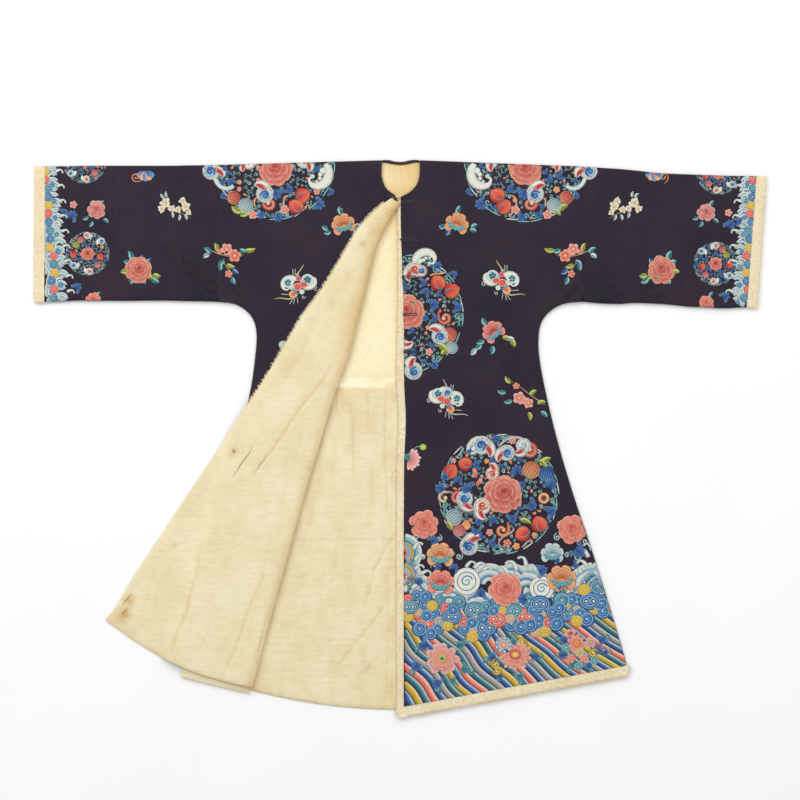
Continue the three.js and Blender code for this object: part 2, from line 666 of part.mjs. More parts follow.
// A round cord along the straight runs between points.
function cordAlong(points, radius, steps) {
  const curve = new THREE.CatmullRomCurve3(points, false, 'catmullrom', 0);
  const section = new THREE.Shape();
  section.absarc(0, 0, radius, 0, Math.PI * 2);
  const options = { steps, curveSegments: 4, extrudePath: curve, bevelEnabled: false };
  return new THREE.ExtrudeGeometry(section, options);
}

// Dark bias binding round the neck: both fronts at the height of the silk, the back on the floor.
const BINDING_OUT = BINDING_RADIUS + SEAM + 0.4;
const NECK_START_Y = NECK_CORNER_Y - 3;
const BINDING_STEPS = 10;

function neckBinding(rows, side) {
  const neck = rows.filter((row) => row.inY > NECK_START_Y);
  const points = neck.map((row, i) => {
    const before = neck[Math.max(i - 1, 0)];
    const after = neck[Math.min(i + 1, neck.length - 1)];
    const along = new THREE.Vector2(after.inX - before.inX, after.inY - before.inY).normalize();
    const x = row.inX - along.y * BINDING_OUT;
    const y = row.inY + along.x * BINDING_OUT;
    return new THREE.Vector3(side * x, y, TOP_Z - SILK / 2);
  });
  return cordAlong(points, BINDING_RADIUS, BINDING_STEPS);
}

// The back's binding follows the low curve of the back neckline.
const BACK_NECKLINE = [
  { x: -42, y: 686.6 },
  { x: -29.5, y: 681.1 },
  { x: 0, y: 678.6 },
  { x: 29.5, y: 681.1 },
  { x: 44, y: 686.3 },
];

const BACK_BINDING_Z = BINDING_RADIUS + 0.1;

function backNeckBinding() {
  const points = BACK_NECKLINE.map(({ x, y }) => new THREE.Vector3(x, y, BACK_BINDING_Z));
  return cordAlong(points, BINDING_RADIUS, BINDING_STEPS + 2);
}

// A knotted loop of dark cord, sewn flat on the left front with its knot at the front edge.
const FROG_INSET = 1;

function frog(y) {
  const row = LEFT_FRONT.find((candidate) => candidate.inY >= y) || LEFT_FRONT[LEFT_FRONT.length - 1];
  const startX = row.inX + FROG_INSET;
  const radius = FROG_WIDTH / 2;
  const outline = new THREE.Shape();
  outline.moveTo(radius, -radius);
  outline.lineTo(FROG_LENGTH - radius, -radius);
  outline.absarc(FROG_LENGTH - radius, 0, radius, -Math.PI / 2, Math.PI / 2);
  outline.lineTo(radius, radius);
  outline.absarc(radius, 0, radius, Math.PI / 2, (3 * Math.PI) / 2);
  const inner = radius - FROG_CORD;
  const gap = new THREE.Path();
  gap.moveTo(radius, -inner);
  gap.lineTo(FROG_LENGTH - radius, -inner);
  gap.absarc(FROG_LENGTH - radius, 0, inner, -Math.PI / 2, Math.PI / 2);
  gap.lineTo(radius, inner);
  gap.absarc(radius, 0, inner, Math.PI / 2, (3 * Math.PI) / 2);
  outline.holes.push(gap);
  const base = topOfLeftFront(y) + SEAM;
  const loop = new THREE.ExtrudeGeometry(outline, {
    depth: FROG_CORD - 2 * FROG_EDGE,
    curveSegments: 4,
    bevelThickness: FROG_EDGE,
    bevelSize: FROG_EDGE,
    bevelOffset: -FROG_EDGE,
    bevelSegments: 1,
  }).translate(startX, y, base + FROG_EDGE);
  const knot = new THREE.SphereGeometry(KNOT_RADIUS, 10, 8).translate(startX, y, base + KNOT_RADIUS);
  return joined(loop, knot);
}

// Upper face of the left front under a frog, at its highest.
const PROBE_STEP = 4;
const PROBE_END = FROG_LENGTH + 20;
const FROG_CLEARANCE = 0.1;

function topOfLeftFront(y) {
  let highest = 0;
  for (let x = PROBE_STEP; x <= PROBE_END; x += PROBE_STEP) {
    highest = Math.max(highest, frontLift(LEFT_FRONT, 1, x, y));
  }
  return TOP_Z + highest + FROG_CLEARANCE;
}

const DARK_SILK = { color: 0x2b2434, roughness: 0.55, metalness: 0 };
const CREAM_CLOTH = { color: 0xe9dcb9, roughness: 0.85, metalness: 0 };
const CREAM_FLEECE = { color: 0xe4cf9c, roughness: 0.95, metalness: 0 };
const CREAM_FUR = { color: 0xe8d8b0, roughness: 0.95, metalness: 0 };
const DARK_BINDING = { color: 0x1a1616, roughness: 0.6, metalness: 0 };

const surcoat = new THREE.Group();

function add(name, geometry, look) {
  const mesh = new THREE.Mesh(geometry, new THREE.MeshStandardMaterial(look));
  mesh.name = name;
  surcoat.add(mesh);
}

add('left_body_silk', bodySilk(LEFT_FRONT, 1), DARK_SILK);
add('right_body_silk', mirrored(joined(bodySilk(RIGHT_FRONT, -1), flapSilk())), DARK_SILK);
add('left_front_lining', leftFrontLining(), CREAM_CLOTH);
add('left_edge_fur', leftEdgeFur(), CREAM_FUR);
add('left_hem_fur', leftHemFur(), CREAM_FUR);
add('right_front_lining', mirrored(joined(rightFrontLining(), flapLining())), CREAM_CLOTH);
add('back_lining_fleece', backLining(BACK_LINING_UPPER), CREAM_FLEECE);
add('back_lining_cloth', backLining(BACK_LINING_LOWER), CREAM_CLOTH);
add('left_sleeve_upper', sleeve(LEFT_SLEEVE_UPPER, 1), DARK_SILK);
add('left_sleeve_lower', sleeve(LEFT_SLEEVE_LOWER, 1), DARK_SILK);
add('left_cuff_fur', cuff(LEFT_SLEEVE_LOWER, 1), CREAM_FUR);
add('right_sleeve_upper', sleeve(RIGHT_SLEEVE_UPPER, -1), DARK_SILK);
add('right_sleeve_lower', sleeve(RIGHT_SLEEVE_LOWER, -1), DARK_SILK);
add('right_cuff_fur', cuff(RIGHT_SLEEVE_LOWER, -1), CREAM_FUR);
add('left_neck_binding', neckBinding(LEFT_FRONT, 1), DARK_BINDING);
add('right_neck_binding', neckBinding(RIGHT_FRONT, -1), DARK_BINDING);
add('back_neck_binding', backNeckBinding(), DARK_BINDING);
for (let i = 0; i < FROGS.count; i++) {
  add(`frog_${i + 1}`, frog(FROGS.topY - i * FROGS.step), DARK_BINDING);
}

// The origin is on the floor, under the middle of the outline.
const outline = new THREE.Box3().setFromObject(surcoat);
const middle = outline.getCenter(new THREE.Vector3());
surcoat.position.set(-middle.x, -middle.y, -outline.min.z);

export default surcoat;
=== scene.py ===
import bpy
import math
import numpy as np
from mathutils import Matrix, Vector, noise
from mathutils.bvhtree import BVHTree


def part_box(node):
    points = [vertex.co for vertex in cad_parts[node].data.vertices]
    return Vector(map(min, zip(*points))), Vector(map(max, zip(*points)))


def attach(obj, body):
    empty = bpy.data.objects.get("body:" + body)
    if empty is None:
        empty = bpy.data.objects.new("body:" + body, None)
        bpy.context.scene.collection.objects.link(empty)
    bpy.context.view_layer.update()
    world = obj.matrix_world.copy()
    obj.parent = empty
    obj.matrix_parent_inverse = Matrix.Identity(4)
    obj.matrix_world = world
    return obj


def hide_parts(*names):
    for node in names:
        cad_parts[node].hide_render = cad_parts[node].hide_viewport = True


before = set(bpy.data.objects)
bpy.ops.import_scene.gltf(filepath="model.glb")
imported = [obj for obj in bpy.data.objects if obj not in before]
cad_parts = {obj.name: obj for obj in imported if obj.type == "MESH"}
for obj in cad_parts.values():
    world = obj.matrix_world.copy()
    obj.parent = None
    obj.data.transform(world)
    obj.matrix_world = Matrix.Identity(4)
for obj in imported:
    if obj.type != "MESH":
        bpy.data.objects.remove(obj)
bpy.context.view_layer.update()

# The surcoat lies on a pale studio floor and is seen straight down, as it was photographed.
# A long lens stands high over it, so that each sleeve shows at the same scale.
# Places below are in millimetres from a point in the middle of the body, moved by the shift.
shoulder_seam_x, waist_seam_y = 457.3, 124.3
shift = np.array([
    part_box("left_sleeve_upper")[0][0] * 1000 - shoulder_seam_x,
    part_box("back_lining_fleece")[0][1] * 1000 - waist_seam_y, 0.0])
view_height, view_width, view_middle, film = 7.0, 2.0, 0.09375, 36.0
camera = bpy.data.objects.new("camera", bpy.data.cameras.new("camera"))
camera.data.sensor_width = film
camera.data.lens = film * view_height / view_width
camera.data.clip_end = 60
camera.location = (shift[0] / 1000, view_middle + shift[1] / 1000, view_height)
bpy.context.collection.objects.link(camera)
bpy.context.scene.camera = camera


class Wire:
    """A node socket that takes part in plain arithmetic."""

    def __init__(self, tree, socket):
        self.tree, self.socket = tree, socket

    def maths(self, operation, other, swapped=False):
        first, second = (other, self) if swapped else (self, other)
        return new_node(self.tree, "ShaderNodeMath", {"operation": operation}, i0=first, i1=second)

    def __add__(self, other):
        return self.maths("ADD", other)

    __radd__ = __add__

    def __mul__(self, other):
        return self.maths("MULTIPLY", other)

    __rmul__ = __mul__

    def __sub__(self, other):
        return self.maths("SUBTRACT", other)

    def __rsub__(self, other):
        return self.maths("SUBTRACT", other, swapped=True)


def new_node(tree, kind, settings=None, out=0, **sockets):
    """A node with its settings, then its sockets: i0, i1 by number, the others by name."""
    node = tree.nodes.new(kind)
    for name, value in (settings or {}).items():
        setattr(node, name, value)
    for name, value in sockets.items():
        socket = node.inputs[int(name[1:]) if name[1:].isdigit() else name]
        if isinstance(value, Wire):
            tree.links.new(value.socket, socket)
        else:
            socket.default_value = value
    return Wire(tree, node.outputs[out])


def tint(red, green, blue):
    """A colour as read off cloth, 0 to 255, turned to linear light."""
    return tuple((c / 255 / 12.92 if c < 10.3 else ((c / 255 + 0.055) / 1.055) ** 2.4)
        for c in (red, green, blue)) + (1.0,)


def cloth_material(name, roughness, sheen=0.0):
    material = bpy.data.materials.new(name)
    material.use_nodes = True
    tree = material.node_tree
    shader = tree.nodes["Principled BSDF"]
    shader.inputs["Roughness"].default_value = roughness
    shader.inputs["Sheen Weight"].default_value = sheen
    shader.inputs["Specular IOR Level"].default_value = 0.35
    return material, tree, shader


def blend(tree, factor, first, second):
    """Colour first where the factor is 0 and colour second where it is 1."""
    node = tree.nodes.new("ShaderNodeMix")
    node.data_type = "RGBA"
    for index, value in ((0, factor), (6, first), (7, second)):
        if isinstance(value, Wire):
            tree.links.new(value.socket, node.inputs[index])
        else:
            node.inputs[index].default_value = value
    return Wire(tree, node.outputs[2])


floor_material, tree, shader = cloth_material("studio_floor", 0.9)
place = new_node(tree, "ShaderNodeTexCoord", out=3)
grain = new_node(tree, "ShaderNodeTexNoise", Vector=place, Scale=3.0, Detail=2.0)
tree.links.new(blend(tree, grain, tint(250, 250, 250), tint(254, 254, 254)).socket,
    shader.inputs["Base Color"])
shader.inputs["Specular IOR Level"].default_value = 0.1
bpy.ops.mesh.primitive_plane_add(size=14, location=(0, 0, -0.0006))
floor = bpy.context.object
floor.name = "floor"
floor.data.materials.append(floor_material)

bpy.context.scene.view_settings.view_transform = "Standard"
world = bpy.data.worlds.new("studio")
bpy.context.scene.world = world
world.use_nodes = True
world.node_tree.nodes["Background"].inputs["Color"].default_value = (1, 1, 1, 1)
world.node_tree.nodes["Background"].inputs["Strength"].default_value = 0.58
for name, place, size, power in (
    ("soft_left", (-3.2, 2.6, 4.2), 3.0, 112),
    ("soft_right", (3.6, 1.0, 5.0), 3.5, 62),
    ("soft_top", (0.4, 4.4, 4.0), 3.0, 70),
):
    lamp = bpy.data.objects.new(name, bpy.data.lights.new(name, "AREA"))
    lamp.data.size = size
    lamp.data.energy = power
    lamp.location = place
    lamp.rotation_euler = (Vector((0, 0.05, 0)) - Vector(place)).to_track_quat("-Z", "Y").to_euler()
    bpy.context.collection.objects.link(lamp)


# The outer silk of the wearer's left half: plum-navy satin, one length of cloth from the front
# hem over the shoulder to the back hem, cut on the curve under the arm. It lies closed.
silk_wall, lining_wall, seam = 1.2, 4.0, 0.3
back_lining_z = silk_wall + seam
front_lining_z = back_lining_z + lining_wall + seam
top_z = front_lining_z + lining_wall + seam + silk_wall
edge_rounding = 12.0
side_edge_z = silk_wall + 0.9


def smooth(table, steps):
    """Rows on a smooth curve through the table's rows."""
    rows = np.array(table, float)
    ends = np.vstack([2 * rows[0] - rows[1], rows, 2 * rows[-1] - rows[-2]])
    out = []
    for i in range(len(rows) - 1):
        a, b, c, d = ends[i:i + 4]
        for u in np.arange(steps) / steps:
            out.append(0.5 * (2 * b + (c - a) * u + (2 * a - 5 * b + 4 * c - d) * u**2
                + (3 * b - a - 3 * c + d) * u**3))
    return np.array(out + [rows[-1]])


def swell(x, y, height):
    return height * (0.5 + 0.5 * np.sin(x / 74 + 1.3 * np.sin(y / 118)) * np.cos(y / 96 + x / 190))


# Long soft folds: x and y of the middle, direction in degrees, half width, half length, height.
broad_folds = (
    (300, 380, 62, 26, 90, 2.2), (-300, 385, 122, 26, 90, 2.2), (560, 385, 24, 18, 110, 2.0),
    (640, 372, 28, 16, 90, 1.8), (-570, 395, 146, 20, 100, 2.0), (90, 520, 100, 22, 90, 1.8),
    (330, 60, 98, 30, 150, 1.6), (190, -60, 86, 34, 190, 1.4),
)
# Sharper creases: from x, y to x, y, half width, height. A crease has a trough beside its ridge.
sharp_creases = (
    (502, 348, 556, 368, 7, 2.2), (598, 340, 655, 368, 8, 2.6), (498, 345, 570, 390, 6, 1.2),
    (722, 510, 748, 497, 6, 1.4), (404, 362, 424, 352, 6, 1.4), (480, 600, 500, 560, 9, 0.9),
    (-518, 414, -486, 398, 6, 2.4), (-484, 380, -450, 368, 6, 2.0), (-588, 486, -562, 444, 8, 1.2),
    (-536, 660, -562, 640, 9, 1.0), (-440, 420, -400, 350, 10, 1.2), (-520, 352, -470, 372, 6, 1.4),
    (405, 380, 470, 330, 9, 1.2), (40, 300, 150, 420, 16, 0.7), (220, 520, 400, 500, 18, 0.6),
    (-200, 520, -360, 480, 18, 0.7), (120, 250, 90, -40, 20, 0.6), (260, 180, 300, -60, 18, 0.6),
    (-555, 454, -530, 414, 7, 2.0), (-530, 414, -490, 387, 7, 1.8), (-490, 387, -460, 361, 7, 1.6),
    (-450, 381, -387, 331, 8, 1.8), (-597, 606, -535, 674, 8, 0.8), (452, 392, 402, 350, 7, 1.6),
    (470, 420, 540, 380, 8, 1.2), (430, 440, 380, 380, 9, 0.9), (440, 560, 452, 380, 9, 0.7),
    (-452, 600, -446, 420, 9, 0.6), (600, 560, 690, 545, 14, 0.8),
    (-640, 560, -700, 600, 14, 0.8), (330, 300, 380, 130, 12, 0.8), (60, 560, 30, 440, 14, 0.7),
)


def broad_lift(x, y):
    total = np.zeros_like(x)
    for fold_x, fold_y, angle, width, length, height in broad_folds:
        turn = math.radians(angle)
        dx, dy = x - fold_x, y - fold_y
        along = (dx * math.cos(turn) + dy * math.sin(turn)) / length
        across = (dy * math.cos(turn) - dx * math.sin(turn)) / width
        total += height * np.exp(-along**2 - across**2)
    return total


def beside(x, y, line, width):
    """How far along a crease each place is, 0 to 1, and how many half widths to its side."""
    x0, y0, x1, y1 = line
    length = math.hypot(x1 - x0, y1 - y0)
    ux, uy = (x1 - x0) / length, (y1 - y0) / length
    along = ((x - x0) * ux + (y - y0) * uy) / length
    return along, ((y - y0) * ux - (x - x0) * uy) / width + 0.35 * np.sin(along * 7 + x0)


def crease_lift(x, y, creases):
    total = np.zeros_like(x)
    for *line, width, height in creases:
        along, across = beside(x, y, line, width)
        ends = np.clip(np.minimum(along + 0.25, 1.25 - along) / 0.35, 0, 1)
        ends = ends * ends * (3 - 2 * ends)
        total += height * ends * (np.exp(-across**2) - 0.42 * np.exp(-(across - 1.5) ** 2))
    return total


def crease_shade(x, y):
    """Painted shade in the troughs beside the sharper creases of the silk."""
    total = np.zeros_like(x)
    for *line, width, height in sharp_creases:
        along, across = beside(x, y, line, width)
        ends = np.sin(np.pi * np.clip(along * 0.9 + 0.05, 0, 1))
        total += np.clip(height - 0.6, 0, 1.5) / 1.5 * ends * np.exp(-(((across - 1.2) / 0.6) ** 2))
    return np.clip(total, 0, 1)


def side_at(rows, y):
    """How far out the side seam, or the sleeve's seam, is at a height."""
    ys, xs = rows[:, 3], rows[:, 2]
    keep = np.maximum.accumulate(ys)
    return np.interp(y, keep + np.arange(len(ys)) * 1e-6, xs)


def front_lift(rows, side, x, y, sharp=True):
    keep = np.clip((side_at(rows, y) - x) / 60, 0, 1) * np.clip((684 - y) / 60, 0, 1)
    lift = keep * (swell(side * x, y, 1.6) + broad_lift(side * x, y))
    if sharp:
        close = np.clip((side_at(rows, y) - x) / 16, 0, 1) * np.clip((690 - y) / 20, 0, 1)
        lift = lift + close * crease_lift(side * x, y, sharp_creases)
    return lift


def across(rows, count):
    """Places across a front, close together where it rounds down to the side."""
    start, end = rows[:, :2], rows[:, 2:4]
    length = np.linalg.norm(end - start, axis=1)[:, None]
    even = np.linspace(0, 1, count)[None, :-1] * (length - edge_rounding)
    steps = np.array([1, 0.84, 0.66, 0.48, 0.32, 0.18, 0.08, 0.02, 0])[None, :] * edge_rounding
    along = np.hstack([even, length - steps])
    flat = start[:, None, :] + (end - start)[:, None, :] * (along / length)[:, :, None]
    return flat, np.clip((length - along) / edge_rounding, 0, 1)


def front_face(rows, side, count, sharp=True):
    flat, inward = across(rows, count)
    drop = np.clip((353 - rows[:, 3]) / 14, 0, 1)[:, None]
    rounded = np.sqrt(np.clip(1 - (1 - inward) ** 2, 0, 1))
    z = top_z - (top_z - side_edge_z) * (1 - rounded) * drop
    z = z + front_lift(rows, side, flat[:, :, 0], flat[:, :, 1], sharp)
    return np.dstack([flat, z])


def half_body(rows, side, count, sharp=True):
    """From the front hem over the shoulder and down the back, as the cloth's outer face."""
    front = front_face(rows, side, count, sharp)
    radius = top_z / 2
    turns = []
    for degrees in range(15, 181, 15):
        angle = math.radians(degrees)
        turn = front[-1].copy()
        turn[:, 1] += radius * math.sin(angle)
        turn[:, 2] = radius + radius * math.cos(angle)
        turns.append(turn)
    below = rows[rows[:, 3] <= 339.01][::-3]
    share = (below[0, 3] - below[:, 3]) / (below[0, 3] - below[-1, 3])
    lower = np.column_stack([np.full(len(below), 0.15), 410 - 1064 * share, below[:, 2], below[:, 3]])
    upper = np.array([(30, 679, 457, 640), (0.15, 676.5, 457, 570), (0.15, 560, 457, 460),
        (0.15, 440, 457, 353)])
    back, _ = across(np.vstack([upper, lower]), count)
    back = np.dstack([back, np.zeros(back.shape[:2])])
    return np.concatenate([front, np.array(turns), back])


def facing(grid):
    """Unit normals of a grid of points, its outer side up."""
    along = np.gradient(grid, axis=1)
    up = np.gradient(grid, axis=0)
    normal = np.cross(along, up)
    return normal / np.maximum(np.linalg.norm(normal, axis=2, keepdims=True), 1e-9)


def linked_mesh(name, points, faces, charts, values=None):
    """A mesh of the points that its faces use, with a chart of the cloth and its painted shade and
    stains.
    """
    used, corners = np.unique([index for face in faces for index in face], return_inverse=True)
    ends = np.cumsum([len(face) for face in faces])
    faces = [corners[end - len(face):end].tolist() for face, end in zip(faces, ends)]
    mesh = bpy.data.meshes.new(name)
    mesh.from_pydata(((points[used] + shift) / 1000).tolist(), [], faces)
    mesh.uv_layers.new(name="cloth").data.foreach_set("uv", charts[used][corners].ravel())
    # The attribute holds painted shade, in creases, folds and hollows, together with real stains.
    if values is not None:
        mesh.attributes.new("painted_shade_and_stain", "FLOAT", "POINT").data.foreach_set("value", values[used])
    mesh.polygons.foreach_set("use_smooth", [True] * len(mesh.polygons))
    mesh.set_sharp_from_angle(angle=math.radians(50))
    return mesh


def new_piece(name, mesh):
    mesh.update()
    piece = bpy.data.objects.new(name, mesh)
    bpy.context.collection.objects.link(piece)
    return piece


def shell(name, outer, inner, material, rim=3, paint=None, side=1, stride=1):
    """A closed wall of cloth between two grids, with a rounded rim and a coarser inner side."""
    outer, inner = np.array(outer, float), np.array(inner, float)
    rows, columns = outer.shape[:2]
    loop = [(0, j) for j in range(columns)] + [(i, columns - 1) for i in range(1, rows)]
    loop += [(rows - 1, j) for j in range(columns - 2, -1, -1)] + [(i, 0) for i in range(rows - 2, 0, -1)]
    count = rows * columns
    edge_out = np.array([outer[i, j] for i, j in loop])
    edge_in = np.array([inner[i, j] for i, j in loop])
    away = []
    for i, j in loop:
        step = np.zeros(3)
        if i in (0, rows - 1):
            step += outer[i, j] - outer[1 if i == 0 else rows - 2, j]
        if j in (0, columns - 1):
            step += outer[i, j] - outer[i, 1 if j == 0 else columns - 2]
        away.append(step / max(np.linalg.norm(step), 1e-9))
    away = np.array(away)
    half = (edge_out - edge_in) / 2
    reach = np.linalg.norm(half, axis=1, keepdims=True) * 0.8
    layers = []
    for k in range(1, rim + 1):
        angle = math.pi * k / (rim + 1)
        layers.append((edge_out + edge_in) / 2 + half * math.cos(angle) + away * reach * math.sin(angle))
    points = np.vstack([outer.reshape(-1, 3), inner.reshape(-1, 3)] + layers)
    index = np.arange(count).reshape(rows, columns)
    a, b, c, d = index[:-1, :-1], index[:-1, 1:], index[1:, 1:], index[1:, :-1]
    faces = np.column_stack([q.ravel() for q in (a, b, c, d)]).tolist()
    kept = list(range(0, columns - 1, stride)) + [columns - 1]
    for i in range(rows - 1):
        for first, last in zip(kept[:-1], kept[1:]):
            near = range(first, last + 1) if i == 0 else (first, last)
            far = range(last, first - 1, -1) if i == rows - 2 else (last, first)
            cell = [count + i * columns + j for j in near] + [count + (i + 1) * columns + j for j in far]
            faces.append(cell[::-1])
    ring = [np.array([index[i, j] for i, j in loop])]
    ring += [2 * count + len(loop) * k + np.arange(len(loop)) for k in range(rim)]
    ring += [ring[0] + count]
    for upper, lower in zip(ring[:-1], ring[1:]):
        faces += np.column_stack([lower, np.roll(lower, -1), np.roll(upper, -1), upper]).tolist()
    if side < 0:
        points[:, 0] *= -1
        faces = [face[::-1] for face in faces]
    chart = points[:count, :2] / 1000
    on_edge = [i * columns + j for i, j in loop]
    charts = np.vstack([chart, chart] + [chart[on_edge]] * rim)
    values = None
    if paint is not None:
        shade = paint.reshape(-1)
        values = np.concatenate([shade, shade] + [shade[on_edge]] * rim)
    mesh = linked_mesh(name, points, faces, charts, values)
    mesh.materials.append(material)
    return new_piece(name, mesh)


silk, tree, shader = cloth_material("plum_satin", 0.5, 0.03)
shader.inputs["Specular IOR Level"].default_value = 0.26
shader.inputs["Sheen Roughness"].default_value = 0.4
shader.inputs["Sheen Tint"].default_value = tint(120, 100, 130)
chart = new_node(tree, "ShaderNodeUVMap", {"uv_map": "cloth"})
stretched = new_node(tree, "ShaderNodeMapping", Vector=chart, Scale=(1.0, 9.0, 1.0))
mottle = new_node(tree, "ShaderNodeTexNoise", Vector=chart, Scale=5.0, Detail=5.0, Roughness=0.6)
slubs = new_node(tree, "ShaderNodeTexNoise", Vector=stretched, Scale=28.0, Detail=4.0, Roughness=0.65)
upright = new_node(tree, "ShaderNodeMapping", Vector=chart, Scale=(14.0, 1.0, 1.0))
streaks = new_node(tree, "ShaderNodeTexNoise", Vector=upright, Scale=14.0, Detail=3.0)
worn = new_node(tree, "ShaderNodeMapRange", i0=mottle, i1=0.35, i2=0.75, i3=0.0, i4=1.0)
base = blend(tree, worn, tint(24, 16, 35), tint(46, 28, 44))
base = blend(tree, (slubs - 0.45) * 0.9, base, tint(49, 36, 54))
base = blend(tree, (streaks - 0.55) * 0.8, base, tint(20, 15, 29))
# Painted shade: the troughs beside the sharp creases darken the satin.
creased = new_node(tree, "ShaderNodeAttribute", {"attribute_name": "painted_shade_and_stain"}, out=2)
base = blend(tree, creased * 0.9, base, tint(7, 5, 10))
tree.links.new(base.socket, shader.inputs["Base Color"])
tree.links.new((0.46 + slubs * 0.16).socket, shader.inputs["Roughness"])
weft = new_node(tree, "ShaderNodeTexWave", {"bands_direction": "Y"}, Vector=chart, Scale=420.0,
    Distortion=0.6)
warp = new_node(tree, "ShaderNodeTexWave", {"bands_direction": "X"}, Vector=chart, Scale=700.0,
    Distortion=0.4)
relief = weft * 0.5 + warp * 0.3 + slubs * 1.2
bump = new_node(tree, "ShaderNodeBump", Strength=0.35, Distance=0.0004, Height=relief)
tree.links.new(bump.socket, shader.inputs["Normal"])

left_rows = [
    (10, -671, 567, -569), (10, -560, 541, -480), (10, -440, 509, -375), (10, -310, 474, -265),
    (10, -180, 437, -155), (11, -60, 405, -50), (15, 44, 379, 48), (11, 130, 360, 132),
    (10, 205, 348, 200),
    (10, 262, 346, 250), (9, 305, 352, 285), (9, 335, 368, 309), (8, 362, 392, 327), (7, 385, 420, 336),
    (6, 405, 457, 339),
]
left_upper = [(6, 405, 457, 339), (6, 425, 457, 353), (4, 475, 457, 425), (2, 535, 457, 500),
    (2, 598, 457, 570)]
left_neck = [(2, 598, 457, 570), (24, 609, 457, 602), (42, 627, 457, 630), (51, 652, 457, 652),
    (52, 687, 457, 671.5)]


def half_rows(lower, upper, neck):
    return np.vstack([smooth(lower, 8)[:-1], smooth(upper, 8)[:-1], smooth(neck, 8)])


left = half_rows(left_rows, left_upper, left_neck)
outer, plain = half_body(left, 1, 104), half_body(left, 1, 104, sharp=False)
# Painted shade in the crease troughs of the front.
shade = crease_shade(outer[:, :, 0], outer[:, :, 1])
shade[len(left):] = 0
left_silk = shell("left_body_satin", outer, plain - facing(plain) * silk_wall, silk, rim=1, paint=shade,
    stride=12)
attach(left_silk, "root")
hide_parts("left_body_silk")


# The outer silk of the wearer's right half: the same cut, with its front turned back on itself
# in a soft fold, so that all but a corner of the turned part lies hidden under its lining.
right_lower = [
    (375, -611, 560, -567), (346, -505, 537, -480), (316, -400, 507, -375), (282, -278, 473, -265),
    (250, -160, 440, -155), (219, -55, 411, -50), (189, 45, 389, 48), (160, 138, 371, 132),
    (134, 205, 362, 200), (119, 262, 358, 250), (109, 305, 362, 283), (101, 335, 374, 306),
    (94, 362, 394, 324), (88, 385, 420, 335), (83, 405, 457, 339),
]
right_upper = [(83, 405, 457, 339), (79, 425, 457, 353), (66, 475, 457, 425), (44, 532, 457, 500),
    (8, 580, 457, 570)]
right_neck = [(8, 580, 457, 570), (10, 600, 457, 602), (36, 620, 457, 630), (48, 650, 457, 652),
    (48, 687, 457, 675.5)]
right = half_rows(right_lower, right_upper, right_neck)
turned = smooth([
    (375, -622, 735, -455, 26), (367, -592, 711, -425, 25), (346, -510, 670, -355, 18),
    (316, -400, 606, -258, 12),
    (282, -278, 541, -160, 8), (250, -160, 472, -57, 5), (219, -55, 411, 36, 2), (189, 45, 352, 124, 0),
    (160, 138, 296, 216, 0), (134, 205, 247, 298, 0), (114, 285, 205, 355, 0), (94, 362, 167, 415, 0),
    (79, 425, 133, 471, 0), (64, 482, 104, 520, 0), (40, 532, 68, 560, 0), (16, 572, 32, 590, 0),
    (3, 592, 10, 603, 0),
], 9)
fold_radius, opening_band = 2.2, 19.0


def turned_base(rows, to_edge, count):
    """Under face of the turned front: round the fold, then out to the silk's edge or the free edge."""
    fold, edge, bow = rows[:, None, :2], rows[:, None, 2:4], rows[:, None, 4]
    width = np.linalg.norm(edge - fold, axis=2)
    out = (edge - fold) / width[:, :, None]
    down = np.dstack([out[:, :, 1], -out[:, :, 0]])
    silk_width = width - np.minimum(opening_band, width * 0.4)
    reach = width if to_edge else silk_width
    angles = np.radians(np.linspace(0, 180, 11))[None, :]
    along = np.hstack([np.minimum(9, width * 0.5), -fold_radius * np.sin(angles) + 0 * width,
        reach * (np.linspace(0, 1, count + 1)[1:] ** 1.05)[None, :]])
    bend = np.hstack([0 * width + top_z, top_z + fold_radius * (1 - np.cos(angles)) + 0 * width])
    bowed = bow * np.sin(np.pi * np.clip(along / width, 0, 1))
    flat = fold + out * along[:, :, None] + down * bowed[:, :, None]
    x, y = flat[:, :, 0], flat[:, :, 1]
    share = along / width
    rest = top_z + 2 * fold_radius * np.exp(-along / 60) + np.clip(along / 12, 0, 1)
    lift = swell(1.3 * x, y, 3.0) * np.sin(np.pi * np.clip(share, 0, 0.92))
    past = np.clip((x - side_at(right, y) - 8) / 42, 0, 1)
    height = 1 - past * past * (3 - 2 * past)
    z = (rest + lift + front_lift(right, -1, x, y, sharp=False)) * height
    z[:, :12] = bend
    return np.dstack([flat, z]), along, width


def joined_pieces(name, pieces):
    bpy.ops.object.select_all(action="DESELECT")
    for piece in pieces:
        piece.select_set(True)
    bpy.context.view_layer.objects.active = pieces[0]
    bpy.ops.object.join()
    pieces[0].name = pieces[0].data.name = name
    bpy.ops.object.select_all(action="DESELECT")
    return pieces[0]


outer, plain = half_body(right, -1, 88), half_body(right, -1, 88, sharp=False)
# Painted shade in the crease troughs of the front.
shade = crease_shade(-outer[:, :, 0], outer[:, :, 1])
shade[len(right):] = 0
right_silk = shell("right_body_satin", outer, plain - facing(plain) * silk_wall, silk, rim=1,
    paint=shade, side=-1, stride=12)
base, along, width = turned_base(turned[3:], False, 40)
normal = facing(base)
tail = shell("turned_satin", base + normal * silk_wall, base, silk, rim=1, paint=np.zeros(along.shape),
    side=-1, stride=4)
right_silk = joined_pieces("right_body_satin", [right_silk, tail])
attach(right_silk, "root")
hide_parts("right_body_silk")


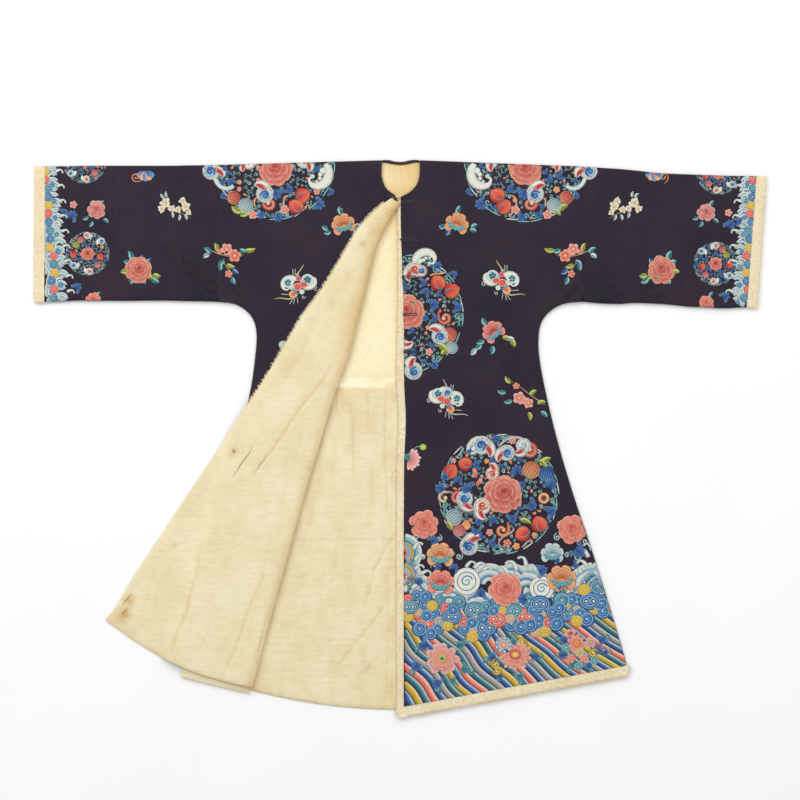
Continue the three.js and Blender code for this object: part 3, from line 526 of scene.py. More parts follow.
# The lining: soft cream cotton over a warm filling, napped and puffy. It shows where the right
# front is turned back and, through the opening, on the back below the waist seam.
def cream_material(name, pale, mid, gold, weave=1.0, pile=0.0, grain=60.0):
    material, tree, shader = cloth_material(name, 0.85, 0.25)
    shader.inputs["Sheen Roughness"].default_value = 0.6
    place = new_node(tree, "ShaderNodeTexCoord", out=3)
    clouds = new_node(tree, "ShaderNodeTexNoise", Vector=place, Scale=9.0, Detail=4.0, Roughness=0.55)
    fine = new_node(tree, "ShaderNodeTexNoise", Vector=place, Scale=grain, Detail=5.0, Roughness=0.65)
    painted_shade_and_stain = new_node(tree, "ShaderNodeAttribute", {"attribute_name": "painted_shade_and_stain"}, out=2)
    base = blend(tree, new_node(tree, "ShaderNodeMapRange", i0=clouds, i1=0.38, i2=0.66, i3=0.0, i4=1.0),
        pale, mid)
    speck = new_node(tree, "ShaderNodeMapRange", i0=fine, i1=0.56, i2=0.74, i3=0.0, i4=0.35)
    base = blend(tree, speck, base, mid)
    # Painted shade and real stains both turn the cloth towards gold here.
    base = blend(tree, painted_shade_and_stain * (0.65 + fine * 0.7), base, gold)
    tree.links.new(base.socket, shader.inputs["Base Color"])
    tree.links.new((0.8 + clouds * 0.12).socket, shader.inputs["Roughness"])
    tall = new_node(tree, "ShaderNodeMapping", Vector=place, Scale=(3.2, 1.0, 1.0))
    wide = new_node(tree, "ShaderNodeMapping", Vector=place, Scale=(1.0, 3.0, 1.0))
    pressed = new_node(tree, "ShaderNodeTexNoise", Vector=tall, Scale=22.0, Detail=3.0, Roughness=0.5)
    crossed = new_node(tree, "ShaderNodeTexNoise", Vector=wide, Scale=30.0, Detail=3.0, Roughness=0.5)
    threads = new_node(tree, "ShaderNodeTexWave", {"bands_direction": "X"}, Vector=place, Scale=300.0,
        Distortion=1.5)
    picks = new_node(tree, "ShaderNodeTexWave", {"bands_direction": "Y"}, Vector=place, Scale=260.0,
        Distortion=1.5)
    relief = (pressed * 3.2 + crossed * 2.6) * weave + (threads + picks) * (0.12 * weave)
    relief = relief + fine * (0.7 + 2.2 * pile)
    bump = new_node(tree, "ShaderNodeBump", Strength=0.55, Distance=0.0022, Height=relief)
    tree.links.new(bump.socket, shader.inputs["Normal"])
    return material


cotton = cream_material("cream_cotton", tint(243, 231, 193), tint(236, 220, 176), tint(212, 174, 106))
# Troughs pressed into the lining, from x, y to x, y, half width, depth: on the turned front first.
lining_creases = (
    (-180, 161, -250, 69, 6, -1.9), (-250, 69, -362, -89, 6, -1.6), (-495, -281, -525, -406, 8, -1.3),
    (-525, -406, -567, -526, 9, -1.5), (-352, -369, -432, -574, 9, -1.4), (-243, 24, -262, -64, 7, -0.7),
    (-362, -14, -412, -94, 3, -1.3), (-470, -231, -345, -251, 8, -0.7), (-470, -441, -500, -540, 9, -0.5),
    (-112, 344, -150, 206, 10, -0.6), (-285, -120, -300, -240, 9, -0.5),
    (-610, -330, -650, -450, 9, -0.6),
    (-390, -200, -440, -330, 10, -0.5), (-200, 300, -300, 120, 12, -0.5),
    (-320, -250, -372, -470, 10, -0.6),
)
back_creases = (
    (-20, -251, -62, -324, 5, -1.6), (-62, -324, -87, -414, 7, -1.1), (-42, -426, -100, -500, 6, -1.4),
    (-100, -500, -157, -569, 8, -1.2), (-35, 131, -38, 10, 4, -1.5), (-38, 10, -33, -181, 4, -1.3),
    (-80, 106, -80, 19, 5, -1.2), (-80, 19, -42, 2, 4, -1.1), (-125, 94, -118, 19, 4, -1.2),
    (-118, 19, -115, -106, 6, -0.9), (-70, -81, -78, -206, 7, -0.7), (-160, 96, -158, 56, 4, -1.0),
    (-237, -256, -20, -254, 3, -1.0), (-62, -556, -105, -600, 8, -0.9),
    (-150, -240, -180, -420, 10, -0.6),
    (-205, -120, -250, -300, 10, -0.5), (-120, -300, -135, -480, 11, -0.5),
    (-30, -300, -32, -640, 5, -0.8),
    (60, 0, 90, -400, 12, -1.0), (220, -30, 300, -420, 12, -1.0), (-330, -60, -390, -420, 12, -1.0),
)


# Painted shade in the troughs of the lining's creases.
def trough_shade(x, y, creases):
    total = np.zeros_like(x)
    for *line, width, depth in creases:
        along, across = beside(x, y, line, 0.6 * width)
        ends = np.clip(np.minimum(along + 0.2, 1.2 - along) / 0.3, 0, 1)
        total += np.minimum(-depth, 1.6) * 0.22 * ends * np.exp(-across**2)
    return total


@np.vectorize
def noise_at(u, v, w):
    """Smooth random values, one for each place of an array."""
    return noise.noise(Vector((u, v, w)))


def rounded_edge(distance, run):
    """0 at an edge, 1 past the run, round in between."""
    share = np.clip(distance / run, 0, 1)
    return np.sqrt(np.clip(1 - (1 - share) ** 2, 0, 1))


base, along, width = turned_base(turned, True, 110)
normal = facing(base)
under = base + normal * (silk_wall + seam)
to_free = np.clip(width - along, 0, None)
to_hem = (turned[:, 1] - turned[0, 1])[:, None] + 0 * along
full = 0.5 + 0.5 * rounded_edge(to_free, 13) * rounded_edge(to_hem + 1.5, 13)
seen_x, seen_y = -base[:, :, 0], base[:, :, 1]
thick = lining_wall * full + 0.9 * np.exp(-((to_free - 17) / 9) ** 2)
puff = noise_at(seen_x / 21, seen_y / 21, 3.0)
puff += 0.5 * noise_at(seen_x / 8, seen_y / 9, 7.0)
flat_part = np.clip(along / 25, 0, 1)
thick += flat_part * (crease_lift(seen_x, seen_y, lining_creases) + 0.45 * puff)
thick[:, 0] = lining_wall
# Painted shade: darker in the crease troughs, and below along the fold and at the rounded hem edge.
shade = trough_shade(seen_x, seen_y, lining_creases) * flat_part
from_fold = np.clip(along - 0.5 * np.pi * fold_radius, 0, None)
upper_part = np.clip((seen_y - 60) / 260, 0, 1)
soiled = noise_at(seen_x / 30, seen_y / 42, 21.0)
shade += (0.34 + 0.3 * upper_part) * np.exp(-from_fold / (7 + 9 * upper_part)) + 0.3 * np.exp(-to_hem / 5)
shade += 0.3 * upper_part * np.clip(0.4 + soiled, 0, 1) * np.exp(-((to_free - 34) / 14) ** 2)
shade += 0.16 * np.clip(soiled, 0, 1) + 0.5 * np.exp(-((seen_x + 700) ** 2 + (seen_y + 446) ** 2) / 24**2)
# Brown marks: the place of each, its reach, and how dark it is.
for mark_x, mark_y, reach, dark in ((-415, -36, 9, 0.9), (-93, 482, 8, 0.6), (-564, -268, 7, 0.5),
        (-676, -405, 14, 0.8), (-686, -440, 12, 0.7)):
    shade += dark * np.exp(-((seen_x - mark_x) ** 2 + (seen_y - mark_y) ** 2) / reach**2)
over = np.maximum(thick, 1.6)[:, :, None] * normal + under
turned_lining = shell("turned_lining", over, under, cotton, rim=5, side=-1, paint=np.clip(shade, 0, 1),
    stride=12)


def flat_lining(rows, height, first, inset, count):
    start, end = rows[:, None, :2], rows[:, None, 2:4]
    length = np.linalg.norm(end - start, axis=2, keepdims=True)
    places = first + (length - inset - first) * np.linspace(0, 1, count)[None, :, None]
    flat = start + (end - start) * places / length
    return np.dstack([flat, np.full(flat.shape[:2], height)])


lower_rows = np.vstack([right[:1] - [[0, 27, 0, 27]], right])[:-3]
grid = flat_lining(lower_rows, front_lining_z, 4.0, 15.0, 5)
hidden = shell("hidden_lining", grid + [0, 0, lining_wall - 0.9], grid, cotton, rim=3, side=-1,
    paint=np.zeros(grid.shape[:2]))
right_lining = joined_pieces("right_front_cotton", [turned_lining, hidden])
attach(right_lining, "root")
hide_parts("right_front_lining")

lower_rows = np.vstack([left[:1] + [[0, -0.5, 0, -0.5]], left])[:-3]
grid = flat_lining(lower_rows, front_lining_z, 8.3, 15.0, 5)
left_lining = shell("left_front_cotton", grid + [0, 0, lining_wall - 0.9], grid, cotton, rim=3,
    paint=np.zeros(grid.shape[:2]))
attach(left_lining, "root")
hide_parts("left_front_lining")


def back_sheet(rows, columns, height):
    """Rows of y, half width and rise; columns from -1 to 1 across."""
    y, half, rise = rows[:, 0:1], rows[:, 1:2], rows[:, 2:3]
    share = columns[None, :]
    return np.dstack([half * share, y + rise * share**2, np.full((len(rows), len(columns)), height)])


def dense_columns(low, high, inside, outside):
    """Shares from -1 to 1, close together between low and high."""
    left_part = np.linspace(-1, low, outside, endpoint=False)
    middle = np.linspace(low, high, inside, endpoint=False)
    return np.concatenate([left_part, middle, np.linspace(high, 1, outside)])


rows = smooth([
    (-679, 545, 104), (-560, 525, 88), (-400, 485, 66), (-240, 444, 44), (-90, 400, 24), (30, 368, 9),
    (124, 351, 0),
], 34)
grid = back_sheet(rows, dense_columns(-0.75, 0.08, 110, 16), back_lining_z)
x, y = grid[:, :, 0], grid[:, :, 1]
to_hem = (rows[:, 0] - rows[0, 0])[:, None] + 0 * x
to_seam = (rows[-1, 0] - rows[:, 0])[:, None] + 0 * x
puff = noise_at(x / 21, y / 21, 11.0) + 0.5 * noise_at(x / 8, y / 9, 5.0)
thick = lining_wall * (0.5 + 0.5 * rounded_edge(to_hem, 14)) * (0.8 + 0.2 * rounded_edge(to_seam, 5))
raised = np.clip(crease_lift(x, y, back_creases) + 0.4 * puff, -2.4, 0.28)
open_part = np.clip((-x - 14) / 6, 0, 1)
raised = np.where(x < -14, raised * open_part, np.minimum(raised, 0.0) * 0.3)
past_fold = np.clip(x - np.interp(y, turned[:, 1], -turned[:, 0]), 0, None)
stained = noise_at(x / 26, y / 50, 13.0)
# Painted shade in the crease troughs and at the rounded hem; the cloth is also darker towards the waist
# seam.
shade = trough_shade(x, y, back_creases) + 0.35 * np.exp(-to_hem / 8) + 0.12 * np.exp(-to_seam / 40)
# Painted shadow beside the fold of the turned front, and painted shade in a line beside the opening
# strip, varied by the stains.
shade += 0.5 * np.exp(-past_fold / 12) * np.clip((y + 520) / 560, 0.35, 1)
along_fold = 0.3 * np.exp(-np.abs(x + 22) / 5) * np.clip(0.5 + stained * 1.5, 0, 1)
shade += 0.24 * np.clip(stained + 0.1, 0, 1) + along_fold
back_cloth = shell("back_cotton", grid + np.dstack([0 * x, 0 * x, np.maximum(thick + raised, 1.4)]),
    grid, cotton, rim=4, paint=np.clip(shade, 0, 1), stride=200)
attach(back_cloth, "root")
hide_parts("back_lining_cloth")


# The upper back is lined with sheepskin, its short curls golden with age. It shows at the neck
# and through the opening, down to the seam at the waist.
fleece = cream_material("golden_fleece", tint(255, 249, 214), tint(254, 243, 200), tint(230, 194, 128),
    weave=0.15, pile=0.4, grain=210.0)
rows = smooth([(waist_seam_y, 352, 0), (190, 336, 0), (250, 330, 0), (330, 352, 0), (400, 430, 0),
    (520, 440, 0), (600, 440, 0), (664, 440, 0)], 25)
grid = back_sheet(rows, dense_columns(-0.62, 0.13, 130, 12), back_lining_z)
x = grid[:, :, 0]
to_neck = (16.0 + 3.4 * (x / 30) ** 2) * np.exp(-((x / 64) ** 8))
grid[:, :, 1] += to_neck * np.clip((grid[:, :, 1] - 600) / 64, 0, 1)
y = grid[:, :, 1]


def curls(x, y, size, seed):
    """Heights of close short curls: rounded lumps with turned ridges in them."""
    out = np.zeros_like(x)
    for i in range(x.shape[0]):
        for j in range(x.shape[1]):
            spot = Vector((x[i, j] / size, y[i, j] / size, seed))
            distances = noise.voronoi(spot)[0]
            out[i, j] = min(distances[1] - distances[0], 0.6) * 1.6 + 0.35 * noise.noise(spot * 2.3)
    return out


curl = curls(x, y, 5.0, 2.0)
# At the neck the pile is longer and combed up and down.
at_neck = np.clip((y - 588) / 22, 0, 1)
combed = noise_at(x / 3.4, y / 40, 31.0) + 0.5 * noise_at(x / 9, y / 60, 32.0)
curl = curl * (1 - at_neck) + at_neck * (0.62 + 0.5 * combed)
# Below the fleece a narrow band of cotton reaches down to the waist seam.
woolly = np.clip((y - 148.5 - 1.2 * np.sin(x / 9)) / 3, 0, 1)
curl = curl * woolly + 0.62 * (1 - woolly)
inside = np.where((x < -2) | (y > 600), 1.0, 0.25)
# Painted shadow beside the fold of the turned front and beside the opening strip.
fold_line = np.interp(y, turned[:, 1], -turned[:, 0])
shaded = 0.5 * np.exp(-np.clip(x - fold_line, 0, None) / 12)
shaded = shaded + 0.35 * np.exp(-np.clip(-12 - x, 0, None) / 9)
# Painted shade in the hollows between the curls and in a line just above the fleece's lower edge.
shade = np.clip(0.75 - curl * 0.8, 0, 1) * 0.36 * woolly + 0.2 * woolly * np.exp(-(y - 150) / 9)
stained = noise_at(x / 40, y / 16, 33.0)
shade += (1 - woolly) * np.clip(0.1 + 0.6 * stained + 0.002 * (x + 30), 0, 0.4)
# At the neck the pile is a deeper gold, darker lower down, to the right and towards its top edge.
shade += at_neck * (0.62 + 0.4 * combed + 0.3 * np.clip((640 - y) / 50, 0, 1) + 0.004 * x)
shade += np.where(y < 596, shaded * np.clip((y - 120) / 300, 0.25, 1), 0.25 * np.exp(-(683 - y) / 8))
shade = np.clip(shade, 0, 1)
thick = lining_wall * (0.8 + 0.2 * rounded_edge(y - waist_seam_y, 5))
thick = thick + inside * (curl - 0.75) * 1.2 - 0.6 * (1 - woolly)
thick = np.where((x < -14) | (y > 600), np.minimum(thick, lining_wall + 0.28),
    np.minimum(thick, lining_wall))
back_fleece = shell("back_sheepskin", grid + np.dstack([0 * x, 0 * x, thick]), grid, fleece, rim=3,
    paint=shade, stride=200)
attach(back_fleece, "root")
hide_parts("back_lining_fleece")


# Strips of sheepskin edge the left front: one down the opening and one along the hem. The pile
# is short, cream and puffy, and stands a little over the edge of the silk.
fur = cream_material("cream_pile", tint(251, 242, 215), tint(246, 233, 198), tint(214, 182, 122),
    weave=0.1, pile=0.6, grain=180.0)
hem_band, strip_lap = 27.0, 8.0


def locks(name, roots, leans, long, thick, seed, material):
    """A piece of tapered locks of wool, each three-sided and closed, with painted shade at its root."""
    random = np.random.default_rng(seed)
    count = len(roots)
    leans = leans + random.normal(0, 0.42, (count, 3))
    leans /= np.linalg.norm(leans, axis=1, keepdims=True)
    aside = np.cross(leans, random.normal(0, 1, (count, 3)))
    aside /= np.linalg.norm(aside, axis=1, keepdims=True)
    other = np.cross(leans, aside)
    size = thick * random.uniform(0.7, 1.3, (count, 1))
    ring = [roots + size * (math.cos(angle) * aside + math.sin(angle) * other)
        for angle in np.radians((0, 120, 240))]
    tips = roots + leans * long * random.uniform(0.45, 1.0, (count, 1))
    tips[:, 2] = np.maximum(tips[:, 2], 0.4)
    points = np.stack(ring + [tips], axis=1).reshape(-1, 3)
    first = 4 * np.arange(count)[:, None]
    faces = np.concatenate([first + np.array([corners])
        for corners in ((0, 1, 3), (1, 2, 3), (2, 0, 3), (2, 1, 0))]).tolist()
    # Painted shade at each lock's root, none at its tip.
    values = np.tile([0.22, 0.22, 0.22, 0.0], count)
    mesh = linked_mesh(name, points, faces, points[:, :2] / 1000, values)
    mesh.materials.append(material)
    piece = new_piece(name, mesh)
    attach(piece, "root")


def on_faces(piece, count, seed):
    """Places on a piece's upper and outer faces, with the way that each face looks."""
    random = np.random.default_rng(seed)
    mesh = piece.data
    mesh.calc_loop_triangles()
    spots = np.array([vertex.co for vertex in mesh.vertices]) * 1000 - shift
    corners = np.array([triangle.vertices for triangle in mesh.loop_triangles])
    a, b, c = spots[corners[:, 0]], spots[corners[:, 1]], spots[corners[:, 2]]
    normals = np.cross(b - a, c - a)
    areas = np.linalg.norm(normals, axis=1)
    normals /= np.maximum(areas, 1e-9)[:, None]
    areas = np.where(normals[:, 2] > -0.35, areas * (1 + 1.5 * (np.abs(normals[:, 2]) < 0.7)), 0)
    chosen = random.choice(len(areas), count, p=areas / areas.sum())
    u, v = random.uniform(0, 1, (2, count, 1))
    u, v = np.where(u + v > 1, 1 - u, u), np.where(u + v > 1, 1 - v, v)
    return a[chosen] + (b - a)[chosen] * u + (c - a)[chosen] * v, normals[chosen]


free_edge = (over[:, -1] + under[:, -1]) / 2
outward = free_edge - over[:, -8]
outward[:, 2] = 0
outward /= np.linalg.norm(outward, axis=1, keepdims=True)
random = np.random.default_rng(61)
spots = random.uniform(58, len(free_edge) - 12, 6500)
clumped = noise_at(spots * 2.6, 0.0, 3.0) + 0.6 * noise_at(spots * 9, 0.0, 4.0)
spots = spots[clumped > 0.05]
roots = np.column_stack([np.interp(spots, np.arange(len(free_edge)), free_edge[:, k]) for k in range(3)])
ways = np.column_stack([np.interp(spots, np.arange(len(free_edge)), outward[:, k]) for k in range(3)])
roots = roots * [-1, 1, 1] + random.normal(0, 0.7, roots.shape)
ways = ways * [-1, 1, 1] + [0, 0.3, 0.25]
locks("turned_edge_wool", roots, ways, 8.0, 0.42, 62, fur)


def strip_width(y):
    share = np.clip((y - 150) / 410, 0, 1)
    return opening_band + (8 - opening_band) * share * share * (3 - 2 * share)


def tufts(x, y, size, seed):
    """Uneven short pile."""
    return noise_at(x / size, y / size, seed) + 0.6 * noise_at(x / size * 3, y / size * 3, seed)


def strip(name, flat, shares, edge_share, wool, seed, bare):
    """A pile strip on flat points: round at its free edge, low where it goes in under the silk."""
    thick = np.where(shares > 0.0, (lining_wall + seam + 0.7 * silk_wall)
        * (0.35 + 0.65 * rounded_edge(edge_share, 7)), lining_wall)
    grid = np.dstack([flat, np.full(flat.shape[:2], front_lining_z)])
    pile = tufts(flat[:, :, 0], flat[:, :, 1], 5.5, 4.0)
    thick = thick + np.where(shares > 0.08, 0.75 * pile, 0)
    # Painted shade on the rounded free edge and in the hollows of the pile.
    shade = np.clip(0.3 * np.exp(-edge_share / 3) + 0.3 * (0.2 - pile), 0, 1)
    top = grid + np.dstack([0 * thick, 0 * thick, thick])
    piece = shell(name, top, grid, fur, rim=4, paint=shade, stride=200)
    roots, ways = on_faces(piece, wool, seed)
    grows = bare(roots[:, 0], roots[:, 1])
    locks(name.replace("pile", "wool"), roots[grows], 0.75 * ways[grows], 5.2, 0.46, seed + 1, fur)
    return piece


steps = np.concatenate([np.linspace(1, 0.09, 12), [0.04, 0.0, -0.2, -0.42]])
rows = smooth(np.vstack([[(10, -698, 567, -596)], left_rows]), 26)
rows = np.vstack([rows[:-1], smooth(left_upper, 26)[:-2]])
rows[0, 1] += 0.4
start, to_side = rows[:, None, :2], rows[:, None, 2:4] - rows[:, None, :2]
to_side = to_side / np.linalg.norm(to_side, axis=2, keepdims=True)
width = strip_width(rows[:, 1])[:, None]
out = np.where(steps[None, :] > 0, width * steps[None, :], strip_lap * steps[None, :] / 0.42)
wander = (noise_at(0.0, rows[:, 1] / 28, 1.0) + 0.5 * noise_at(0.0, rows[:, 1] / 7, 2.0))[:, None]
corner = np.clip((rows[0, 1] + 11 - rows[:, 1]) / 11, 0, 1)[:, None]
out = np.where(steps[None, :] > 0, out * np.sqrt(1 - 0.7 * corner**2), out)
flat = start - to_side * (out + 1.2 * wander * np.clip(steps[None, :], 0, 1))[:, :, None]
edge_fur = strip("left_opening_pile", flat, np.broadcast_to(steps[None, :], out.shape),
    np.clip(width - out, 0, None), 14000, 41,
    lambda x, y: x < np.interp(y, rows[:, 1], rows[:, 0]) - 0.4)
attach(edge_fur, "root")
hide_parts("left_edge_fur")

out = np.where(steps > 0, hem_band * steps, strip_lap * steps / 0.42)
start, end = np.array([10.0, -671.0]), np.array([567.0, -569.0])
direction = (end - start) / np.linalg.norm(end - start)
down = np.array([direction[1], -direction[0]])
length = np.linalg.norm(end - start)
reach = np.where(steps > 0, length + 6, length - 15)
spread = np.linspace(0, 1, 240)
along = 8.3 + (reach - 8.3)[:, None] * spread[None, :]
wander = (noise_at(along[:1] / 30, 0.0, 9.0) + 0.5 * noise_at(along[:1] / 7, 0.0, 8.0))
corner = np.clip((along - length + 7) / 13, 0, 1)
lowered = np.where(steps[:, None] > 0, out[:, None] * np.sqrt(1 - 0.7 * corner**2), out[:, None])
lowered = lowered + 1.4 * wander * np.clip(steps, 0, 1)[:, None]
flat = start + direction * along[:, :, None] + np.array([0.0, -1.0]) * lowered[:, :, None]
from_end = np.clip(length + 6 - along, 0, None)
hem_fur = strip("left_hem_pile", flat, np.broadcast_to(steps[:, None], along.shape),
    np.minimum(np.clip(hem_band - out, 0, None)[:, None] + 0 * along, from_end), 8000, 43,
    lambda x, y: (x - start[0]) * down[0] + (y - start[1]) * down[1] > 0.4)
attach(hem_fur, "root")
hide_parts("left_hem_fur")


# Each sleeve is a flattened tube of the same satin, in an upper and a lower width that meet in
# a seam, with its lining inside. The wrist ends in a ring of pile.
def ring_walls(sections, flats):
    """Outer and inner rings of a flattened tube, one for each section from the body outwards."""
    top, bottom = sections[:, None, 0:2], sections[:, None, 2:4]
    length = np.linalg.norm(top - bottom, axis=2)
    up = (top - bottom) / length[:, :, None]
    radius = top_z / 2
    out = []
    for inset in (0.0, silk_wall + lining_wall):
        small = radius - inset
        run = (length - 2 * radius) * np.linspace(0, 1, flats)[None, :]
        turn = np.radians(np.linspace(-75, 75, 11))[None, :]
        under_along, under_z = radius + run, inset + 0 * run
        far_along = length - radius + small * np.cos(turn)
        far_z = radius + small * np.sin(turn) + 0 * length
        over_along, over_z = under_along[:, ::-1], top_z - inset + 0 * run
        near_along = radius - small * np.cos(turn[:, ::-1]) + 0 * length
        near_z = radius + small * np.sin(turn[:, ::-1]) + 0 * length
        along = np.hstack([under_along, far_along, over_along, near_along])
        z = np.hstack([under_z, far_z, over_z, near_z])
        flat = bottom + up * along[:, :, None]
        bulge = np.zeros_like(z)
        bulge[:, flats + 11:2 * flats + 11] = np.sin(np.pi * np.linspace(1, 0, flats))[None, :]
        out.append((flat, z, bulge))
    return out


def sleeve_lift(x, y, bulge):
    keep = np.clip((np.abs(x) - 457) / 60, 0, 1) * np.clip((868 - np.abs(x)) / 60, 0, 1)
    near = np.clip((868 - np.abs(x)) / 20, 0, 1)
    lift = bulge * keep * (swell(x, y, 1.0) + broad_lift(x, y))
    return lift + np.clip(bulge * 9, 0, 1) * near * crease_lift(x, y, sharp_creases)


def tube(name, outer, inner, materials, side, painted_shade_and_stain=None):
    """A closed ring wall: outer and inner rings joined at both ends, the inner one plainer."""
    sections, count = outer.shape[:2]
    points = np.vstack([outer.reshape(-1, 3), inner.reshape(-1, 3)])
    index = np.arange(sections * count).reshape(sections, count)
    within = index + sections * count
    within = within[list(range(0, sections - 1, 9)) + [sections - 1]]
    ahead, ahead_within = np.roll(index, -1, axis=1), np.roll(within, -1, axis=1)
    walls = np.column_stack([q.ravel() for q in (index[:-1], ahead[:-1], ahead[1:], index[1:])])
    inside = np.column_stack([q.ravel() for q in (within[:-1], within[1:], ahead_within[1:],
        ahead_within[:-1])])
    ends = np.vstack([
        np.column_stack([ahead[0], index[0], within[0], ahead_within[0]]),
        np.column_stack([index[-1], ahead[-1], ahead_within[-1], within[-1]]),
    ])
    faces = np.vstack([walls, inside, ends]).tolist()
    slots = np.repeat([0, 1, 0], [len(walls), len(inside), len(ends)])
    if side < 0:
        points[:, 0] *= -1
        faces = [face[::-1] for face in faces]
    ring_step = np.linalg.norm(np.roll(outer, -1, axis=1) - outer, axis=2).cumsum(axis=1) / 1000
    chart = np.dstack([outer[:, :, 0] / 1000, ring_step]).reshape(-1, 2)
    values = None if painted_shade_and_stain is None else np.concatenate([painted_shade_and_stain.ravel(), 0 * painted_shade_and_stain.ravel()])
    mesh = linked_mesh(name, points, faces, np.vstack([chart, chart]), values)
    for material in materials:
        mesh.materials.append(material)
    mesh.polygons.foreach_set("material_index", np.minimum(slots, len(materials) - 1))
    return new_piece(name, mesh)


sleeve_tables = (
    ("left_sleeve_upper", 1, [(457.3, 677, 457.3, 339), (500, 674, 500, 336), (548, 671, 547, 334),
    (590, 667, 588, 336), (645, 661, 643, 333), (705, 658, 702, 329)], (0.248, 0.69), 0.163),
    ("left_sleeve_lower", 1, [(705.3, 658, 702.3, 329), (760, 656, 752, 325), (825, 654, 812, 323),
    (890, 653, 866, 325)], (0.175, 0.665), 0.114),
    ("right_sleeve_upper", -1, [(457.3, 681, 457.3, 339), (520, 680, 520, 340), (587, 679, 587, 342),
    (652, 679, 652, 342), (717, 679, 717, 341)], (0.26, 0.69), 0.175),
    ("right_sleeve_lower", -1, [(717.3, 679, 717.3, 341), (775, 679, 775, 342), (830, 678, 830, 341),
    (886, 678, 888, 339)], (0.17, 0.68), 0.114),
)
sleeve_pieces = []
for name, side, sections, flat_size, area in sleeve_tables:
    walls = []
    for flat, z, bulge in ring_walls(smooth(sections, 13), 64):
        x, y = side * flat[:, :, 0], flat[:, :, 1]
        waver = 1.1 * np.sin(x / 23 + 2 * np.sin(x / 61)) * np.exp(-((y - 333) / 9) ** 2)
        walls.append(np.dstack([flat[:, :, 0], y + waver, z + sleeve_lift(x, y, bulge)]))
    # Painted shade in the crease troughs of the sleeve's upper face.
    shade = crease_shade(side * walls[0][:, :, 0], walls[0][:, :, 1]) * (walls[0][:, :, 2] > 0.6 * top_z)
    piece = tube(name.replace("sleeve", "satin_sleeve"), walls[0], walls[1], [silk, cotton], side,
        painted_shade_and_stain=shade)
    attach(piece, "root")
    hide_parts(name)
    sleeve_pieces.append(piece)

for name, side, (top_x, top_y, bot_x, bot_y), flat_size in (
    ("left_cuff_fur", 1, (890, 653, 866, 325), (0.0247, 0.67)),
    ("right_cuff_fur", -1, (886, 678, 888, 339), (0.0247, 0.69)),
):
    steps = np.array([0.3, 1.5, 4, 7, 10, 13, 16, 19, 21.5, 23.5, 24.6, 25.0])
    sections = np.column_stack([top_x + steps, top_y + 0 * steps, bot_x + steps, bot_y - 2 + 0 * steps])
    closing = rounded_edge(25.0 - steps + 0.4, 7)
    walls = []
    for k, (flat, z, bulge) in enumerate(ring_walls(sections, 150)):
        middle = flat.mean(axis=1, keepdims=True)
        pile = tufts(flat[:, :, 0] + z, flat[:, :, 1], 5.5, 6.0 + side)
        full = (0.5 + 0.5 * closing)[:, None]
        if k == 0:
            raised = np.where(z > top_z / 2, 1, -0.2) * 0.55 * pile * (bulge > 0)
            z = top_z / 2 + (z - top_z / 2) * full + raised
            z = np.maximum(z, 0.0)
            flat = flat + np.dstack([0.8 * pile * (steps[:, None] > 15), 0.4 * pile * (bulge <= 0)])
        walls.append(np.dstack([flat, z]))
    piece = tube(name.replace("fur", "pile"), walls[0], walls[1], [fur], side,
        painted_shade_and_stain=0.25 + 0 * walls[0][:, :, 0])
    roots, ways = on_faces(piece, 4600, 45 + side)
    locks(name.replace("fur", "wool"), roots, 0.8 * ways, 4.8, 0.45, 47 + side, fur)
    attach(piece, "root")
    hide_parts(name)


# Narrow dark bias binding is sewn round the neckline, in one length for each front and one for
# the back of the neck.
def cord_piece(name, paths, material, sides):
    """A piece of closed round cords: each path is points with a radius."""
    points, faces, count = [], [], 0
    for path, radius in paths:
        path = np.array(path, float)
        radius = np.broadcast_to(radius, len(path))
        tangent = np.gradient(path, axis=0)
        tangent /= np.linalg.norm(tangent, axis=1, keepdims=True)
        side_way = np.cross(tangent, [0, 0, 1.0])
        weak = np.linalg.norm(side_way, axis=1) < 1e-3
        side_way[weak] = [1.0, 0, 0]
        side_way /= np.linalg.norm(side_way, axis=1, keepdims=True)
        up_way = np.cross(side_way, tangent)
        angle = np.linspace(0, 2 * np.pi, sides, endpoint=False)
        ring = path[:, None] + radius[:, None, None] * (np.cos(angle)[None, :, None] * side_way[:, None]
            + np.sin(angle)[None, :, None] * up_way[:, None])
        index = count + np.arange(len(path) * sides).reshape(len(path), sides)
        ahead = np.roll(index, -1, axis=1)
        a, b, c, d = index[:-1], ahead[:-1], ahead[1:], index[1:]
        points.append(ring.reshape(-1, 3))
        faces += np.column_stack([q.ravel() for q in (a, b, c, d)]).tolist()
        faces += [index[0][::-1].tolist(), index[-1].tolist()]
        count += len(path) * sides
    mesh = bpy.data.meshes.new(name)
    mesh.from_pydata(((np.vstack(points) + shift) / 1000).tolist(), [], faces)
    mesh.materials.append(material)
    mesh.polygons.foreach_set("use_smooth", [len(face) == 4 for face in faces])
    return new_piece(name, mesh)


